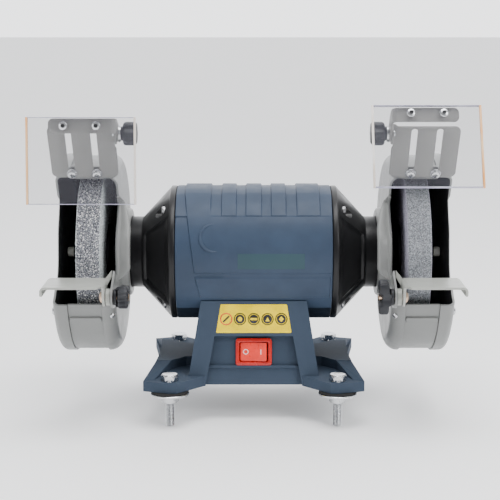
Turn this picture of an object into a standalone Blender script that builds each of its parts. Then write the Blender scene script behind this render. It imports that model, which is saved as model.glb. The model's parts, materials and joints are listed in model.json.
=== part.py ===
"""Double-wheel bench grinder, modelled as the separate pieces that it is assembled from.

Places are given from the middle of the spindle: x to the right, f forwards to the operator, z up, all in
millimetres. to_world() turns them into metres, with the ground at the tips of the four foot bolts.
Each side piece is written once, for the right side, and mirrored by a side of -1 or +1.
"""

import math

import bmesh
import bpy
from mathutils import Vector

MM = 0.001
GAP = 0.3  # between touching pieces

# ---- driving dimensions, mm ----
AXIS_HEIGHT = 138.0  # spindle above the tips of the foot bolts
FRONT_REACH = 131.6  # from the spindle to the frontmost point, the right shield's lower edge
FOOT_X, FOOT_F = 71.5, 74.0  # foot bolts
PAD_R, PAD_THICK = 16.0, 1.2
AXIS_SETBACK = (FRONT_REACH - FOOT_F - PAD_R) / 2  # spindle behind the middle of the whole object

BARREL_R = 59.5
BARREL_BORE_R = 53.0
BARREL_END = 67.2
BAND_RISE = 1.2
BANDS = [(-57.3, -36.6), (-28.1, -14.6), (-7.1, 7.1), (14.6, 28.1), (36.6, 57.3)]
BAND_FROM, BAND_TO = 40, 140  # degrees round the barrel, up from the front

BELL_RIM_R = 59.0
BELL_NECK_R = 31.5
BELL_START, BELL_CONE, BELL_NECK, BELL_END = 67.5, 73.0, 96.0, 115.6
BELL_SCREW_R, BELL_SCREWS = 50.5, (54, 126, 234, 306)  # degrees round the rim
BEARING_R, BEARING_BORE_R, BEARING_WIDTH, BEARING_AT = 17.5, 7.7, 11.0, 90.0

WHEEL_R, WHEEL_BORE_R = 75.0, 6.5
WHEEL_IN, WHEEL_OUT = 129.3, 149.3
FLANGE_R = 25.0
NUT_OUT, SHAFT_END, SHAFT_TIP_R = 159.5, 165.6, 4.0

GUARD_R = 87.5
SHEET = 1.8  # guard sheet
GUARD_IN, GUARD_STEP, GUARD_SPLIT, GUARD_OUT = 115.9, 127.5, 156.5, 169.0
GUARD_CORNER_IN, GUARD_CORNER_OUT = 11.0, 6.0
FLANGE_IN = 105.4  # free edge of the flange that stiffens the guard's opening
COLLAR_IN, COLLAR_R = 108.0, 39.0  # collar of the guard round the end bell's neck
BAND_DROP = 0.9  # how far the band lies under the rims
LIP_ANGLE = -21.4  # lower end of the guard's opening
OPENING_EDGE = [(45, 30), (55.5, 19), (57.5, 5), (56.6, -7)]  # the cheek's front edge

PLATE_ANGLE = 57.0  # the spark plate stands along this radius
PLATE_THICK = 1.7
PLATE_FROM, PLATE_TO = 87.6, 141.0
PLATE_IN, PLATE_OUT = 114.5, 170.5
SLOT_X, SLOT_WIDTH, SLOT_FROM, SLOT_TO = (132.5, 153.5), 5.0, 89.0, 139.0
PIVOT_ALONG, PIVOT_OFF = 137.0, 5.0  # shield pivot: along the plate's radius, and in front of the plate

SHIELD_TILT = {-1: 6.0, 1: 27.0}  # degrees from upright, as each shield is set
STRIP_F, STRIP_Z, STRIP_HIGH, STRIP_OUT = 25.9, 5.6, 12.0, 165.0
ARM_IN, ARM_OUT = 110.9, 112.6
PANE_IN, PANE_OUT, PANE_HIGH, PANE_THICK = 94.3, 182.6, 70.0, 3.0

REST_BOLT_F, REST_BOLT_Z, REST_BOLT_R = 97.0, -21.0, 2.9
REST_TOP, REST_THICK = -8.0, 2.0
REST_BACK, REST_FRONT, REST_IN, REST_OUT = 81.0, 122.0, 122.2, 173.0
REST_TRAVEL_IN, REST_TRAVEL_OUT = 4.0, 8.0

FOOT_TOP, FOOT_BOTTOM = -98.3, -107.0
WEB_TOP = -90.0
FACE_TOP_F, FACE_TOP_Z = 50.0, -34.5  # top edge of the pedestal's sloping front
FACE_FOOT_F = 60.0  # where that face meets the foot's top
PEDESTAL_TOP_X, PEDESTAL_FOOT_X = 45.6, 56.0
RECESS_FROM, RECESS_LEDGE, RECESS_TO = 30.2, 56.6, 76.0  # down the sloping face
RECESS_DEEP, LEDGE_DEEP = 7.0, 5.0
SWITCH_DOWN = 44.3  # middle of the switch, down the sloping face
SWITCH_WIDE, SWITCH_HIGH = 31.4, 24.0
ROCKER_WIDE, ROCKER_HIGH, ROCKER_TILT = 23.2, 15.8, 10.0
ROCKER_PIVOT = -7.6  # from the front face

BOLT_R, BOLT_HEX_R = 4.0, 7.5
NUT_TOP, NUT_BOTTOM = -110.9, -117.5

ROUND = 36  # sides of the large round pieces
SMALL = 16  # sides of the small ones

SIDES = {"left": -1, "right": 1}


# ---- places ----
def to_world(x, f, z):
    return Vector((x, AXIS_SETBACK - f, AXIS_HEIGHT + z)) * MM


def polar(radius, degrees):
    """Forward and up of a point round the spindle, counted up from the front."""
    angle = math.radians(degrees)
    return radius * math.cos(angle), radius * math.sin(angle)


def on_plate(along, behind):
    """Forward and up of a point along the spark plate's radius and behind its face."""
    c, s = polar(1.0, PLATE_ANGLE)
    return along * c - behind * s, along * s + behind * c


def on_face(x, down, out):
    """World place of a point on the pedestal's front: across, down the slope and out of it."""
    run, drop = FACE_FOOT_F - FACE_TOP_F, FACE_TOP_Z - FOOT_TOP
    length = math.hypot(run, drop)
    f = FACE_TOP_F + (down * run + out * drop) / length
    z = FACE_TOP_Z + (out * run - down * drop) / length
    return to_world(x, f, z)


def arc(centre, radius, start, end, steps):
    """Points round a circle in a plane, from one angle to another."""
    points = []
    for i in range(steps + 1):
        angle = math.radians(start + (end - start) * i / steps)
        points.append((centre[0] + radius * math.cos(angle), centre[1] + radius * math.sin(angle)))
    return points


# ---- outlines of rings ----
def circle(angle):
    return 1.0


def hexagon(angle):
    """Six flats, as a share of the corner radius."""
    sixth = math.pi / 3
    return math.cos(sixth / 2) / math.cos(angle % sixth - sixth / 2)


def star(angle):
    return 0.9 + 0.1 * math.cos(6 * angle)


def paddles(angle):
    """Nine straight blades on a hub."""
    return 1.0 if (angle * 9 / (2 * math.pi)) % 1.0 < 0.4 else 0.33


def ring(axis, centre, along, radius, sides, shape=circle):
    """Points round an axis through centre, which is across, forward and up."""
    x, f, z = centre
    points = []
    for i in range(sides):
        angle = 2 * math.pi * i / sides
        r = radius * shape(angle)
        u, v = r * math.cos(angle), r * math.sin(angle)
        place = {"x": (along, f + u, z + v), "f": (x + u, along, z + v), "z": (x + u, f + v, along)}
        points.append(to_world(*place[axis]))
    return points


# ---- making objects ----
def clear_scene():
    for obj in list(bpy.data.objects):
        bpy.data.objects.remove(obj, do_unlink=True)


def material(name, colour, roughness, metallic=0.0):
    made = bpy.data.materials.new(name)
    made.use_nodes = True
    shader = made.node_tree.nodes["Principled BSDF"]
    shader.inputs["Base Color"].default_value = (*colour, 1.0)
    shader.inputs["Roughness"].default_value = roughness
    shader.inputs["Metallic"].default_value = metallic
    made.diffuse_color = (*colour, 1.0)
    return made


def empty(name, place):
    made = bpy.data.objects.new(name, None)
    made.location = place
    bpy.context.collection.objects.link(made)
    return made


def skin(name, rings, finish=None, closed=False, pivot=None, parent=None):
    """A solid whose surface runs through rings of equal count, capped at its ends or closed on itself."""
    origin = pivot or Vector((0, 0, 0))
    bm = bmesh.new()
    loops = [[bm.verts.new(p - origin) for p in points] for points in rings]
    pairs = list(zip(loops, loops[1:]))
    if closed:
        pairs.append((loops[-1], loops[0]))
    else:
        bm.faces.new(loops[0])
        bm.faces.new(loops[-1])
    for low, high in pairs:
        for i in range(len(low)):
            j = (i + 1) % len(low)
            bm.faces.new((low[i], low[j], high[j], high[i]))
    bmesh.ops.recalc_face_normals(bm, faces=bm.faces)
    mesh = bpy.data.meshes.new(name)
    bm.to_mesh(mesh)
    bm.free()
    mesh.shade_smooth()
    mesh.set_sharp_from_angle(angle=math.radians(32))
    made = bpy.data.objects.new(name, mesh)
    bpy.context.collection.objects.link(made)
    made.location = origin
    if parent:
        made.parent = parent
        made.location = origin - parent.location
    if finish:
        mesh.materials.append(finish)
    return made


def turned(name, profile, finish=None, closed=True, sides=ROUND, axis="x", centre=(0, 0, 0), **extra):
    """A turned solid: profile is (along the axis, radius) or (along, radius, shape)."""
    rings = [ring(axis, centre, p[0], p[1], sides, *p[2:]) for p in profile]
    return skin(name, rings, finish, closed, **extra)


def swept(name, profile, start, end, steps, finish=None):
    """A part-turned solid about the spindle: a closed (x, radius) profile from one angle to another."""
    rings = []
    for i in range(steps + 1):
        degrees = start + (end - start) * i / steps
        rings.append([to_world(x, *polar(r, degrees)) for x, r in profile])
    return skin(name, rings, finish)


def prism(name, outline, low, high, finish=None, axis="x", **extra):
    """A straight solid: an (f, z) outline run along x, or an (x, f) outline run along z."""
    if axis == "x":
        rings = [[to_world(level, f, z) for f, z in outline] for level in (low, high)]
    else:
        rings = [[to_world(x, f, level) for x, f in outline] for level in (low, high)]
    return skin(name, rings, finish, **extra)


def block(name, place, first, second, third, finish=None, **extra):
    """A straight-sided solid in the frame of a place function, between three pairs of values."""
    corners = [(0, 0), (1, 0), (1, 1), (0, 1)]
    rings = [[place(first[i], second[j], level) for i, j in corners] for level in third]
    return skin(name, rings, finish, **extra)


def plate_place(x, along, behind):
    return to_world(x, *on_plate(along, behind))


def combine(obj, tool, operation):
    tool.hide_render = True
    tool.display_type = "WIRE"
    change = obj.modifiers.new(tool.name, "BOOLEAN")
    change.operation = operation
    change.solver = "EXACT"
    change.object = tool


def unite(obj, *tools):
    for tool in tools:
        combine(obj, tool, "UNION")


def cut(obj, *tools):
    for tool in tools:
        combine(obj, tool, "DIFFERENCE")


def spread(side, *values):
    """Across values of a side piece, on its own side."""
    return [side * value for value in values]


# ---- motor ----
def motor_housing(finish):
    outside = [(-BARREL_END, BARREL_R), (BARREL_END, BARREL_R)]
    bore = [(BARREL_END, BARREL_BORE_R), (-BARREL_END, BARREL_BORE_R)]
    housing = turned("motor_housing", outside + bore, finish)
    middle = (BARREL_R + BARREL_BORE_R) / 2
    top = BARREL_R + BAND_RISE
    steps = round((BAND_TO - BAND_FROM) * ROUND / 360)
    for number, (low, high) in enumerate(BANDS, 1):
        profile = [(low, middle), (low, BARREL_R), (low + 1, top)]
        profile += [(high - 1, top), (high, BARREL_R), (high, middle)]
        unite(housing, swept(f"band_guide_{number}", profile, BAND_FROM, BAND_TO, steps))
    return housing


def end_bell(name, side, finish):
    seat_r = BEARING_R + GAP
    seat_end = BEARING_AT + BEARING_WIDTH + GAP
    profile = [
        (BELL_START, BELL_RIM_R - 1),
        (BELL_START + 1, BELL_RIM_R),
        (BELL_CONE - 1, BELL_RIM_R),
        (BELL_CONE + 1, BELL_RIM_R - 2.5),
        (BELL_NECK, BELL_NECK_R + 1),
        (BELL_NECK + 1, BELL_NECK_R),
        (BELL_END, BELL_NECK_R),
        (BELL_END, 12),
        (seat_end, 12),
        (seat_end, seat_r),
        (BEARING_AT - GAP, seat_r),
        (BEARING_AT - GAP, seat_r + 5),
        (BELL_CONE + 1, BARREL_BORE_R - 3),
        (BELL_START, BARREL_BORE_R),
    ]
    bell = turned(name, [(side * x, r) for x, r in profile], finish)
    for number, degrees in enumerate(BELL_SCREWS, 1):
        f, z = polar(BELL_SCREW_R, degrees)
        ends = [(side * (BELL_CONE + 3), 5.5), (side * BELL_NECK, 5.5)]
        pocket = turned(f"{name}_pocket_{number}", ends, closed=False, sides=8, centre=(0, f, z))
        cut(bell, pocket)
    return bell


def stator(finish, copper):
    bore, outside, half = 30.5, BARREL_BORE_R - GAP, 24.0
    core = [(-half, bore), (-half, outside), (half, outside), (half, bore)]
    turned("stator_core", core, finish, sides=SMALL)
    for word, side in SIDES.items():
        low, high = spread(side, half + GAP, 40)
        mid = (low + high) / 2
        profile = [(low, 33), (low, 46), (mid, 48), (high, 43), (high, 35)]
        turned(f"stator_winding_{word}", profile, copper, sides=SMALL)


def bearing(name, side, low_r, high_r, finish, parent=None):
    low, high = spread(side, BEARING_AT, BEARING_AT + BEARING_WIDTH - GAP)
    profile = [(low, low_r), (low, high_r), (high, high_r), (high, low_r)]
    turned(name, profile, finish, sides=SMALL, **held_by(parent))


def held_by(parent):
    return {"pivot": parent.location.copy(), "parent": parent} if parent else {}


def rotor(spindle, steel, core, fan_finish):
    held = held_by(spindle)
    step = NUT_OUT + GAP
    half = [(0, 7.7), (86, 7.7), (86, 7.4), (112, 7.4), (112, 6.2), (step, 6.2), (step, SHAFT_TIP_R)]
    half += [(SHAFT_END - 0.6, SHAFT_TIP_R), (SHAFT_END, SHAFT_TIP_R - 0.6)]
    profile = [(-x, r) for x, r in reversed(half[1:])] + half[1:]
    turned("shaft", profile, steel, closed=False, sides=SMALL, **held)
    turned("rotor_core", [(-25, 8), (-25, 29.8), (25, 29.8), (25, 8)], core, sides=SMALL, **held)
    blades = [(44, 44, paddles), (54, 44, paddles), (54, 8), (44, 8)]
    turned("fan", blades, fan_finish, sides=36, **held)


def wheel_set(word, side, spindle, steel, grit):
    held = held_by(spindle)
    seat = WHEEL_BORE_R
    inner = [(112.3, seat), (129, seat), (129, FLANGE_R), (125.5, FLANGE_R), (125.5, 11), (112.3, 11)]
    outer = [(149.6, seat), (153.6, seat), (153.6, FLANGE_R - 2), (152, FLANGE_R), (149.6, FLANGE_R)]
    nut = [(153.9, seat), (NUT_OUT, seat), (NUT_OUT, 10.5, hexagon), (153.9, 10.5, hexagon)]
    shapes = {"inner_flange": inner, "outer_flange": outer, "spindle_nut": nut}
    for name, profile in shapes.items():
        placed = [(side * p[0], *p[1:]) for p in profile]
        turned(f"{name}_{word}", placed, steel, sides=SMALL, **held)
    edge = 1.5
    profile = [
        (WHEEL_IN, seat),
        (WHEEL_IN, WHEEL_R - edge),
        (WHEEL_IN + edge, WHEEL_R),
        (WHEEL_OUT - edge, WHEEL_R),
        (WHEEL_OUT, WHEEL_R - edge),
        (WHEEL_OUT, seat),
    ]
    turned(f"wheel_{word}", [(side * x, r) for x, r in profile], grit, **held)


# ---- guards ----
def guard_inner(word, side, finish):
    corner = GUARD_IN + GUARD_CORNER_IN
    centre = (corner, GUARD_R - GUARD_CORNER_IN)
    band_r = GUARD_R - BAND_DROP
    end = GUARD_SPLIT - GAP
    bore = BELL_NECK_R + GAP
    profile = [(GUARD_IN, 20), (GUARD_IN, bore), (COLLAR_IN, bore), (COLLAR_IN, COLLAR_R), (GUARD_IN, COLLAR_R)]
    profile += arc(centre, GUARD_CORNER_IN, 180, 90, 3)
    profile += [(GUARD_STEP, GUARD_R), (GUARD_STEP, band_r), (end, band_r), (end, band_r - SHEET)]
    profile += [(GUARD_STEP, band_r - SHEET)]
    profile += arc(centre, GUARD_CORNER_IN - SHEET, 90, 180, 3)
    profile += [(GUARD_IN + SHEET, 20)]
    guard = turned(f"guard_inner_{word}", [(side * x, r) for x, r in profile], finish)

    outline = [on_plate(120, GAP), on_plate(53, GAP), *OPENING_EDGE]
    outline += [polar(GUARD_R - 0.5, LIP_ANGLE), polar(120, LIP_ANGLE)]
    cut(guard, prism(f"opening_{word}", outline, *spread(side, 100, 160)))

    edge = [(41, 37), *OPENING_EDGE, (60, -16)]
    behind = [(39.6, 35.8), (43.6, 28.9), (53.9, 18.0), (55.7, 4.8), (54.8, -7.2), (58.3, -16.8)]
    flange = edge + list(reversed(behind))
    unite(guard, prism(f"flange_{word}", flange, *spread(side, FLANGE_IN, GUARD_IN + 0.5)))

    bolt = (REST_BOLT_F, REST_BOLT_Z)
    tab = [(55, -10), (72, -12), (81, -2.5), *arc(bolt, 9.0, 70, -70, 6), (80, -34), (62, -24)]
    unite(guard, prism(f"lug_{word}", tab, *spread(side, GUARD_IN, GUARD_IN + SHEET)))
    low, high = spread(side, GUARD_IN - 3, GUARD_IN + 5)
    hole = [(low, REST_BOLT_R + GAP), (high, REST_BOLT_R + GAP)]
    cut(guard, turned(f"lug_hole_{word}", hole, closed=False, sides=12, centre=(0, *bolt)))

    rim = (85.2, 97.5)
    across = spread(side, 118.5, 156.0)
    unite(guard, block(f"screw_lip_{word}", plate_place, across, rim, (GAP, GAP + 2)))


def guard_outer(word, side, finish):
    centre = (GUARD_OUT - GUARD_CORNER_OUT, GUARD_R - GUARD_CORNER_OUT)
    profile = [(GUARD_OUT - SHEET, 30)]
    profile += arc(centre, GUARD_CORNER_OUT - SHEET, 0, 90, 3)
    profile += [(GUARD_SPLIT, GUARD_R - SHEET), (GUARD_SPLIT, GUARD_R)]
    profile += arc(centre, GUARD_CORNER_OUT, 90, 0, 3)
    profile += [(GUARD_OUT, 30)]
    cover = turned(f"guard_outer_{word}", [(side * x, r) for x, r in profile], finish, closed=False)
    outline = [on_plate(120, GAP), on_plate(50, GAP), *arc((0, 0), 46, 50, 10, 3)]
    outline += [polar(GUARD_R - 0.5, LIP_ANGLE), polar(120, LIP_ANGLE)]
    cut(cover, prism(f"cheek_{word}", outline, *spread(side, 150, 175)))


# ---- tool rests ----
def tool_rest(word, side, finish, plated, knob_finish):
    bolt = (REST_BOLT_F, REST_BOLT_Z)
    centre = (0, *bolt)
    pivot = to_world(side * REST_IN, *bolt)
    under = REST_TOP - REST_THICK
    plate = [(REST_BACK, under), (REST_FRONT, under), (REST_FRONT, REST_TOP), (REST_BACK, REST_TOP)]
    rest = prism(f"tool_rest_{word}", plate, *spread(side, REST_IN, REST_OUT), finish, pivot=pivot)
    lip_top = REST_TOP - 1
    lip = [(REST_BACK, under - 6), (REST_FRONT, under - 6), (REST_FRONT, lip_top), (REST_BACK, lip_top)]
    unite(rest, prism(f"rest_lip_{word}", lip, *spread(side, REST_OUT - REST_THICK, REST_OUT)))
    leg = [(81, REST_TOP - 0.5), (110, REST_TOP - 0.5), (110, -21), (105, -28), (85, -28), (81, -23)]
    unite(rest, prism(f"rest_leg_{word}", leg, *spread(side, REST_IN, REST_IN + REST_THICK)))
    slot_r = REST_BOLT_R + GAP
    slot = arc((REST_BOLT_F + REST_TRAVEL_IN, REST_BOLT_Z), slot_r, -90, 90, 4)
    slot += arc((REST_BOLT_F - REST_TRAVEL_OUT, REST_BOLT_Z), slot_r, 90, 270, 4)
    cut(rest, prism(f"rest_slot_{word}", slot, *spread(side, REST_IN - 3, REST_IN + 5)))

    head = REST_IN + REST_THICK + GAP
    shank = [(102.2, REST_BOLT_R), (head, REST_BOLT_R), (head, 5.5), (head + 2.5, 5.5), (head + 3.3, 3)]
    shank = [(side * x, r) for x, r in shank]
    turned(f"rest_bolt_{word}", shank, plated, closed=False, sides=12, centre=centre)

    near, far = GUARD_IN + SHEET + GAP, REST_IN - GAP
    washer = [(near, 3.3), (far, 3.3), (far, 8), (near, 8)]
    washer = [(side * x, r) for x, r in washer]
    turned(f"rest_washer_{word}", washer, plated, sides=SMALL, centre=centre, pivot=pivot)

    turn = math.radians(80 if side > 0 else 0)

    def wings(angle):
        """A bar with a narrow waist: its long way lies along the turn angle."""
        return 0.56 + 0.44 * math.cos(angle - turn) ** 4

    near, far = 101.5, GUARD_IN - GAP
    body = [(near + 0.5, 3.2), (far, 3.2), (far, 7), (far - 1.6, 7)]
    body += [(far - 2, 14, wings), (near + 1, 14, wings), (near, 12.5, wings)]
    body = [(side * p[0], *p[1:]) for p in body]
    turned(f"rest_knob_{word}", body, knob_finish, closed=False, sides=SMALL, centre=centre, pivot=pivot)


# ---- spark plates and eye shields ----
def spark_plate(word, side, finish):
    plate_range = spread(side, PLATE_IN, PLATE_OUT)
    along = (PLATE_FROM, PLATE_TO)
    plate = block(f"spark_plate_{word}", plate_place, plate_range, along, (-PLATE_THICK, 0), finish)
    for number, x in enumerate(SLOT_X, 1):
        across = spread(side, x - SLOT_WIDTH / 2, x + SLOT_WIDTH / 2)
        slot = block(f"slot_{word}_{number}", plate_place, across, (SLOT_FROM, SLOT_TO), (-5, 5))
        cut(plate, slot)
    ear = [(PLATE_TO, 0), *arc((PIVOT_ALONG, -PIVOT_OFF), 7.5, 40, -150, 8), (126, -PLATE_THICK), (126, 0)]
    ear = [on_plate(*point) for point in ear]
    unite(plate, prism(f"ear_{word}", ear, *spread(side, ARM_OUT + GAP, PLATE_IN + 0.5)))
    low, high = spread(side, 100, 116)
    pivot = on_plate(PIVOT_ALONG, -PIVOT_OFF)
    hole = [(low, 2.8 + GAP), (high, 2.8 + GAP)]
    cut(plate, turned(f"ear_hole_{word}", hole, closed=False, sides=12, centre=(0, *pivot)))


def eye_shield(word, side, finish, clear, knob_finish):
    pivot_f, pivot_z = on_plate(PIVOT_ALONG, -PIVOT_OFF)
    pivot = to_world(side * ARM_OUT, pivot_f, pivot_z)
    hinge = empty(f"shield_pivot_{word}", pivot)
    hinge.rotation_euler.x = -math.radians(SHIELD_TILT[side])
    held = {"pivot": pivot, "parent": hinge}

    def from_pivot(x, f, z):
        return to_world(x, pivot_f + f, pivot_z + z)

    sheet = (STRIP_F - 0.8, STRIP_F + 0.8)
    high = (STRIP_Z - STRIP_HIGH / 2, STRIP_Z + STRIP_HIGH / 2)
    strip_range = spread(side, ARM_IN, STRIP_OUT)
    bracket = block(f"shield_bracket_{word}", from_pivot, strip_range, sheet, high, finish, **held)
    arm = [*arc((0, 0), 7, 100, 280, 6), (sheet[0] - 3, high[0]), (sheet[1], high[0]), (sheet[1], high[1])]
    arm += [(sheet[0] - 14, high[1])]
    arm = [(pivot_f + f, pivot_z + z) for f, z in arm]
    unite(bracket, prism(f"arm_{word}", arm, *spread(side, ARM_IN, ARM_OUT), **held))
    hole = [(side * 100, 2.8 + GAP), (side * 116, 2.8 + GAP)]
    bore = turned(f"arm_hole_{word}", hole, closed=False, sides=12, centre=(0, pivot_f, pivot_z), **held)
    cut(bracket, bore)

    face = (sheet[1] + GAP, sheet[1] + GAP + PANE_THICK)
    top = high[1] + 1
    across = spread(side, PANE_IN, PANE_OUT)
    block(f"eye_shield_{word}", from_pivot, across, face, (top - PANE_HIGH, top), clear, **held)

    knob = [(95.6, 9, star), (96.6, 10.5, star), (106, 10.5, star), (107, 9.5, star), (107, 5), (110.6, 5)]
    knob += [(110.6, 2.8), (116, 2.8)]
    knob = [(side * p[0], *p[1:]) for p in knob]
    turned(
        f"shield_knob_{word}",
        knob,
        knob_finish,
        closed=False,
        sides=SMALL,
        centre=(0, pivot_f, pivot_z),
        pivot=pivot,
    )


# ---- base ----
def quarters(points):
    """A full outline from its right front quarter, mirrored across and behind, in order round."""
    right = points + [(x, -f) for x, f in reversed(points)]
    return right + [(-x, f) for x, f in reversed(right)]


def side_rib(name, across, ahead):
    """The rib from the raised web to the outer corner of a foot, falling towards the foot."""
    ends = [((72, 38), (85, 36), WEB_TOP), ((84.7, 72.5), (94, 77.6), FOOT_TOP + 0.1)]
    rings = []
    for inner, outer, top in ends:
        corners = [(inner, FOOT_BOTTOM + 1), (outer, FOOT_BOTTOM + 1), (outer, top), (inner, top)]
        rings.append([to_world(across * p[0], ahead * p[1], z) for p, z in corners])
    return skin(name, rings)


def pedestal():
    """The tapered middle, wider and deeper at its foot."""
    drop = FACE_TOP_Z - FOOT_TOP
    rings = []
    for z in (FACE_TOP_Z, FOOT_BOTTOM):
        share = (FACE_TOP_Z - z) / drop
        x = PEDESTAL_TOP_X + (PEDESTAL_FOOT_X - PEDESTAL_TOP_X) * share
        f = FACE_TOP_F + (FACE_FOOT_F - FACE_TOP_F) * share
        rings.append([to_world(*p, z) for p in ((-x, -f), (x, -f), (x, f), (-x, f))])
    return skin("pedestal", rings)


def recess(name, start, end, depth):
    """The sunk panel between the slanted bars, widening as it goes down."""
    rings = []
    for down in (start, end):
        half = 33.8 + 0.183 * (down - RECESS_FROM)
        corners = ((-half, -depth), (half, -depth), (half, 9), (-half, 9))
        rings.append([on_face(x, down, out) for x, out in corners])
    return skin(name, rings)


def base(finish):
    slab = quarters([(37, 58), (41, 59.4), (65, 84.8), (72.5, 84.8), (94, 77.6), (86, 20)])
    casting = prism("base", slab, FOOT_BOTTOM, FOOT_TOP, finish, axis="z")
    web = quarters([(50, 22), (60, 24.5), (73, 38.5), (85.5, 38.5), (84, 12)])
    unite(casting, prism("web", web, FOOT_BOTTOM + 1, WEB_TOP, axis="z"))
    for name, across, ahead in (("fr", 1, 1), ("fl", -1, 1), ("rr", 1, -1), ("rl", -1, -1)):
        unite(casting, side_rib(f"rib_{name}", across, ahead))
    unite(casting, pedestal())
    cut(casting, turned("saddle", [(-80, BARREL_R + GAP), (80, BARREL_R + GAP)], closed=False))
    cut(casting, recess("panel_recess", RECESS_FROM, RECESS_LEDGE, RECESS_DEEP))
    cut(casting, recess("panel_foot", RECESS_LEDGE - 1, RECESS_TO, LEDGE_DEEP))

    cavity_top, cavity_low = -64.0, FOOT_BOTTOM - 2
    rings = [[to_world(x, f, cavity_top) for x, f in ((-40, -42), (40, -42), (40, 42), (-40, 42))]]
    rings += [[to_world(x, f, cavity_low) for x, f in ((-47, -50), (47, -50), (47, 46), (-47, 46))]]
    cut(casting, skin("cavity", rings))
    mouth = [(-51, -53), (51, -53), (51, 50), (-51, 50)]
    cut(casting, prism("cover_seat", mouth, cavity_low, FOOT_BOTTOM + 2 + GAP, axis="z"))

    half_x, half_y = SWITCH_WIDE / 2 - 1.9, SWITCH_HIGH / 2 - 1.7
    down = (SWITCH_DOWN - half_y, SWITCH_DOWN + half_y)
    cut(casting, block("switch_window", on_face, (-half_x, half_x), down, (-20, -5)))
    for name, x, f in feet():
        low, high = FOOT_BOTTOM - 3, FOOT_TOP + 3
        cutter = [(low, BOLT_R + GAP), (high, BOLT_R + GAP)]
        cut(casting, turned(f"bolt_hole_{name}", cutter, closed=False, sides=12, axis="z", centre=(x, f, 0)))
    gland = [(-70, 8.3), (-40, 8.3)]
    cut(casting, turned("gland_hole", gland, closed=False, sides=SMALL, axis="f", centre=(-24, 0, -86)))
    return casting


def wire_passage(*castings):
    """One hole down through the barrel's wall and the saddle under it."""
    ends = [(-75, 6), (-45, 6)]
    passage = turned("wire_passage", ends, closed=False, sides=12, axis="z")
    for casting in castings:
        cut(casting, passage)


def feet():
    return [
        ("front_left", -FOOT_X, FOOT_F),
        ("front_right", FOOT_X, FOOT_F),
        ("rear_left", -FOOT_X, -FOOT_F),
        ("rear_right", FOOT_X, -FOOT_F),
    ]


def foot_fasteners(zinc, rubber):
    for name, x, f in feet():
        place = {"axis": "z", "centre": (x, f, 0)}
        head = FOOT_TOP + GAP
        bolt = [(-AXIS_HEIGHT, BOLT_R - 0.7), (-AXIS_HEIGHT + 0.8, BOLT_R), (head, BOLT_R)]
        bolt += [(head, BOLT_HEX_R, hexagon), (head + 5.3, BOLT_HEX_R, hexagon)]
        turned(f"foot_bolt_{name}", bolt, zinc, closed=False, sides=12, **place)
        top = FOOT_BOTTOM - GAP
        inner = BOLT_R + GAP
        pad = [(top - PAD_THICK, inner), (top - PAD_THICK, PAD_R), (top, PAD_R), (top, inner)]
        turned(f"foot_pad_{name}", pad, rubber, sides=SMALL, **place)
        nut = [(NUT_BOTTOM, inner), (NUT_BOTTOM, BOLT_HEX_R, hexagon), (NUT_TOP, BOLT_HEX_R, hexagon)]
        nut += [(NUT_TOP, inner)]
        turned(f"foot_nut_{name}", nut, zinc, sides=12, **place)


def base_cover(finish):
    outline = [(-50.6, -52.6), (50.6, -52.6), (50.6, 49.6), (-50.6, 49.6)]
    prism("base_cover", outline, FOOT_BOTTOM, FOOT_BOTTOM + 2, finish, axis="z")


def capacitor(finish):
    ends = [(-30, 14), (-29, 15.5), (29, 15.5), (30, 14)]
    turned("capacitor", ends, finish, closed=False, sides=SMALL, centre=(0, 2, -84))


def cable_gland(finish):
    profile = [(-44, 4), (-44, 7.9), (-61.5, 7.9), (-61.5, 11, hexagon), (-66.5, 11, hexagon), (-67.5, 8.8)]
    profile += [(-74, 7.6), (-74, 4)]
    turned("cable_gland", profile, finish, sides=SMALL, axis="f", centre=(-24, 0, -86))


# ---- switch ----
def switch(frame_finish, rocker_finish):
    half_x, half_y = SWITCH_WIDE / 2, SWITCH_HIGH / 2
    back = -RECESS_DEEP + GAP

    def around(inset):
        return (-half_x + inset, half_x - inset), (SWITCH_DOWN - half_y + inset, SWITCH_DOWN + half_y - inset)

    frame = block("switch_frame", on_face, *around(0), (back, back + 2.6), frame_finish)
    unite(frame, block("switch_body", on_face, *around(2.3), (back - 18, back + 0.5)))
    window_x, window_y = ROCKER_WIDE / 2 + 0.9, ROCKER_HIGH / 2 + 0.6
    down = (SWITCH_DOWN - window_y, SWITCH_DOWN + window_y)
    cut(frame, block("rocker_window", on_face, (-window_x, window_x), down, (back - 10, back + 5)))

    half = ROCKER_WIDE / 2
    section = [(-half, 3.2), (0, 1.8), (half, 3.2), (half, -1), (4, -4), (-4, -4), (-half, -1)]
    tilt = math.radians(ROCKER_TILT)
    rings = []
    for down in (SWITCH_DOWN - ROCKER_HIGH / 2, SWITCH_DOWN + ROCKER_HIGH / 2):
        points = []
        for x, out in section:
            turned_x = x * math.cos(tilt) - out * math.sin(tilt)
            turned_out = x * math.sin(tilt) + out * math.cos(tilt)
            points.append(on_face(turned_x, down, ROCKER_PIVOT + turned_out))
        rings.append(points)
    skin("rocker", rings, rocker_finish, pivot=on_face(0, SWITCH_DOWN, ROCKER_PIVOT))


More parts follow.
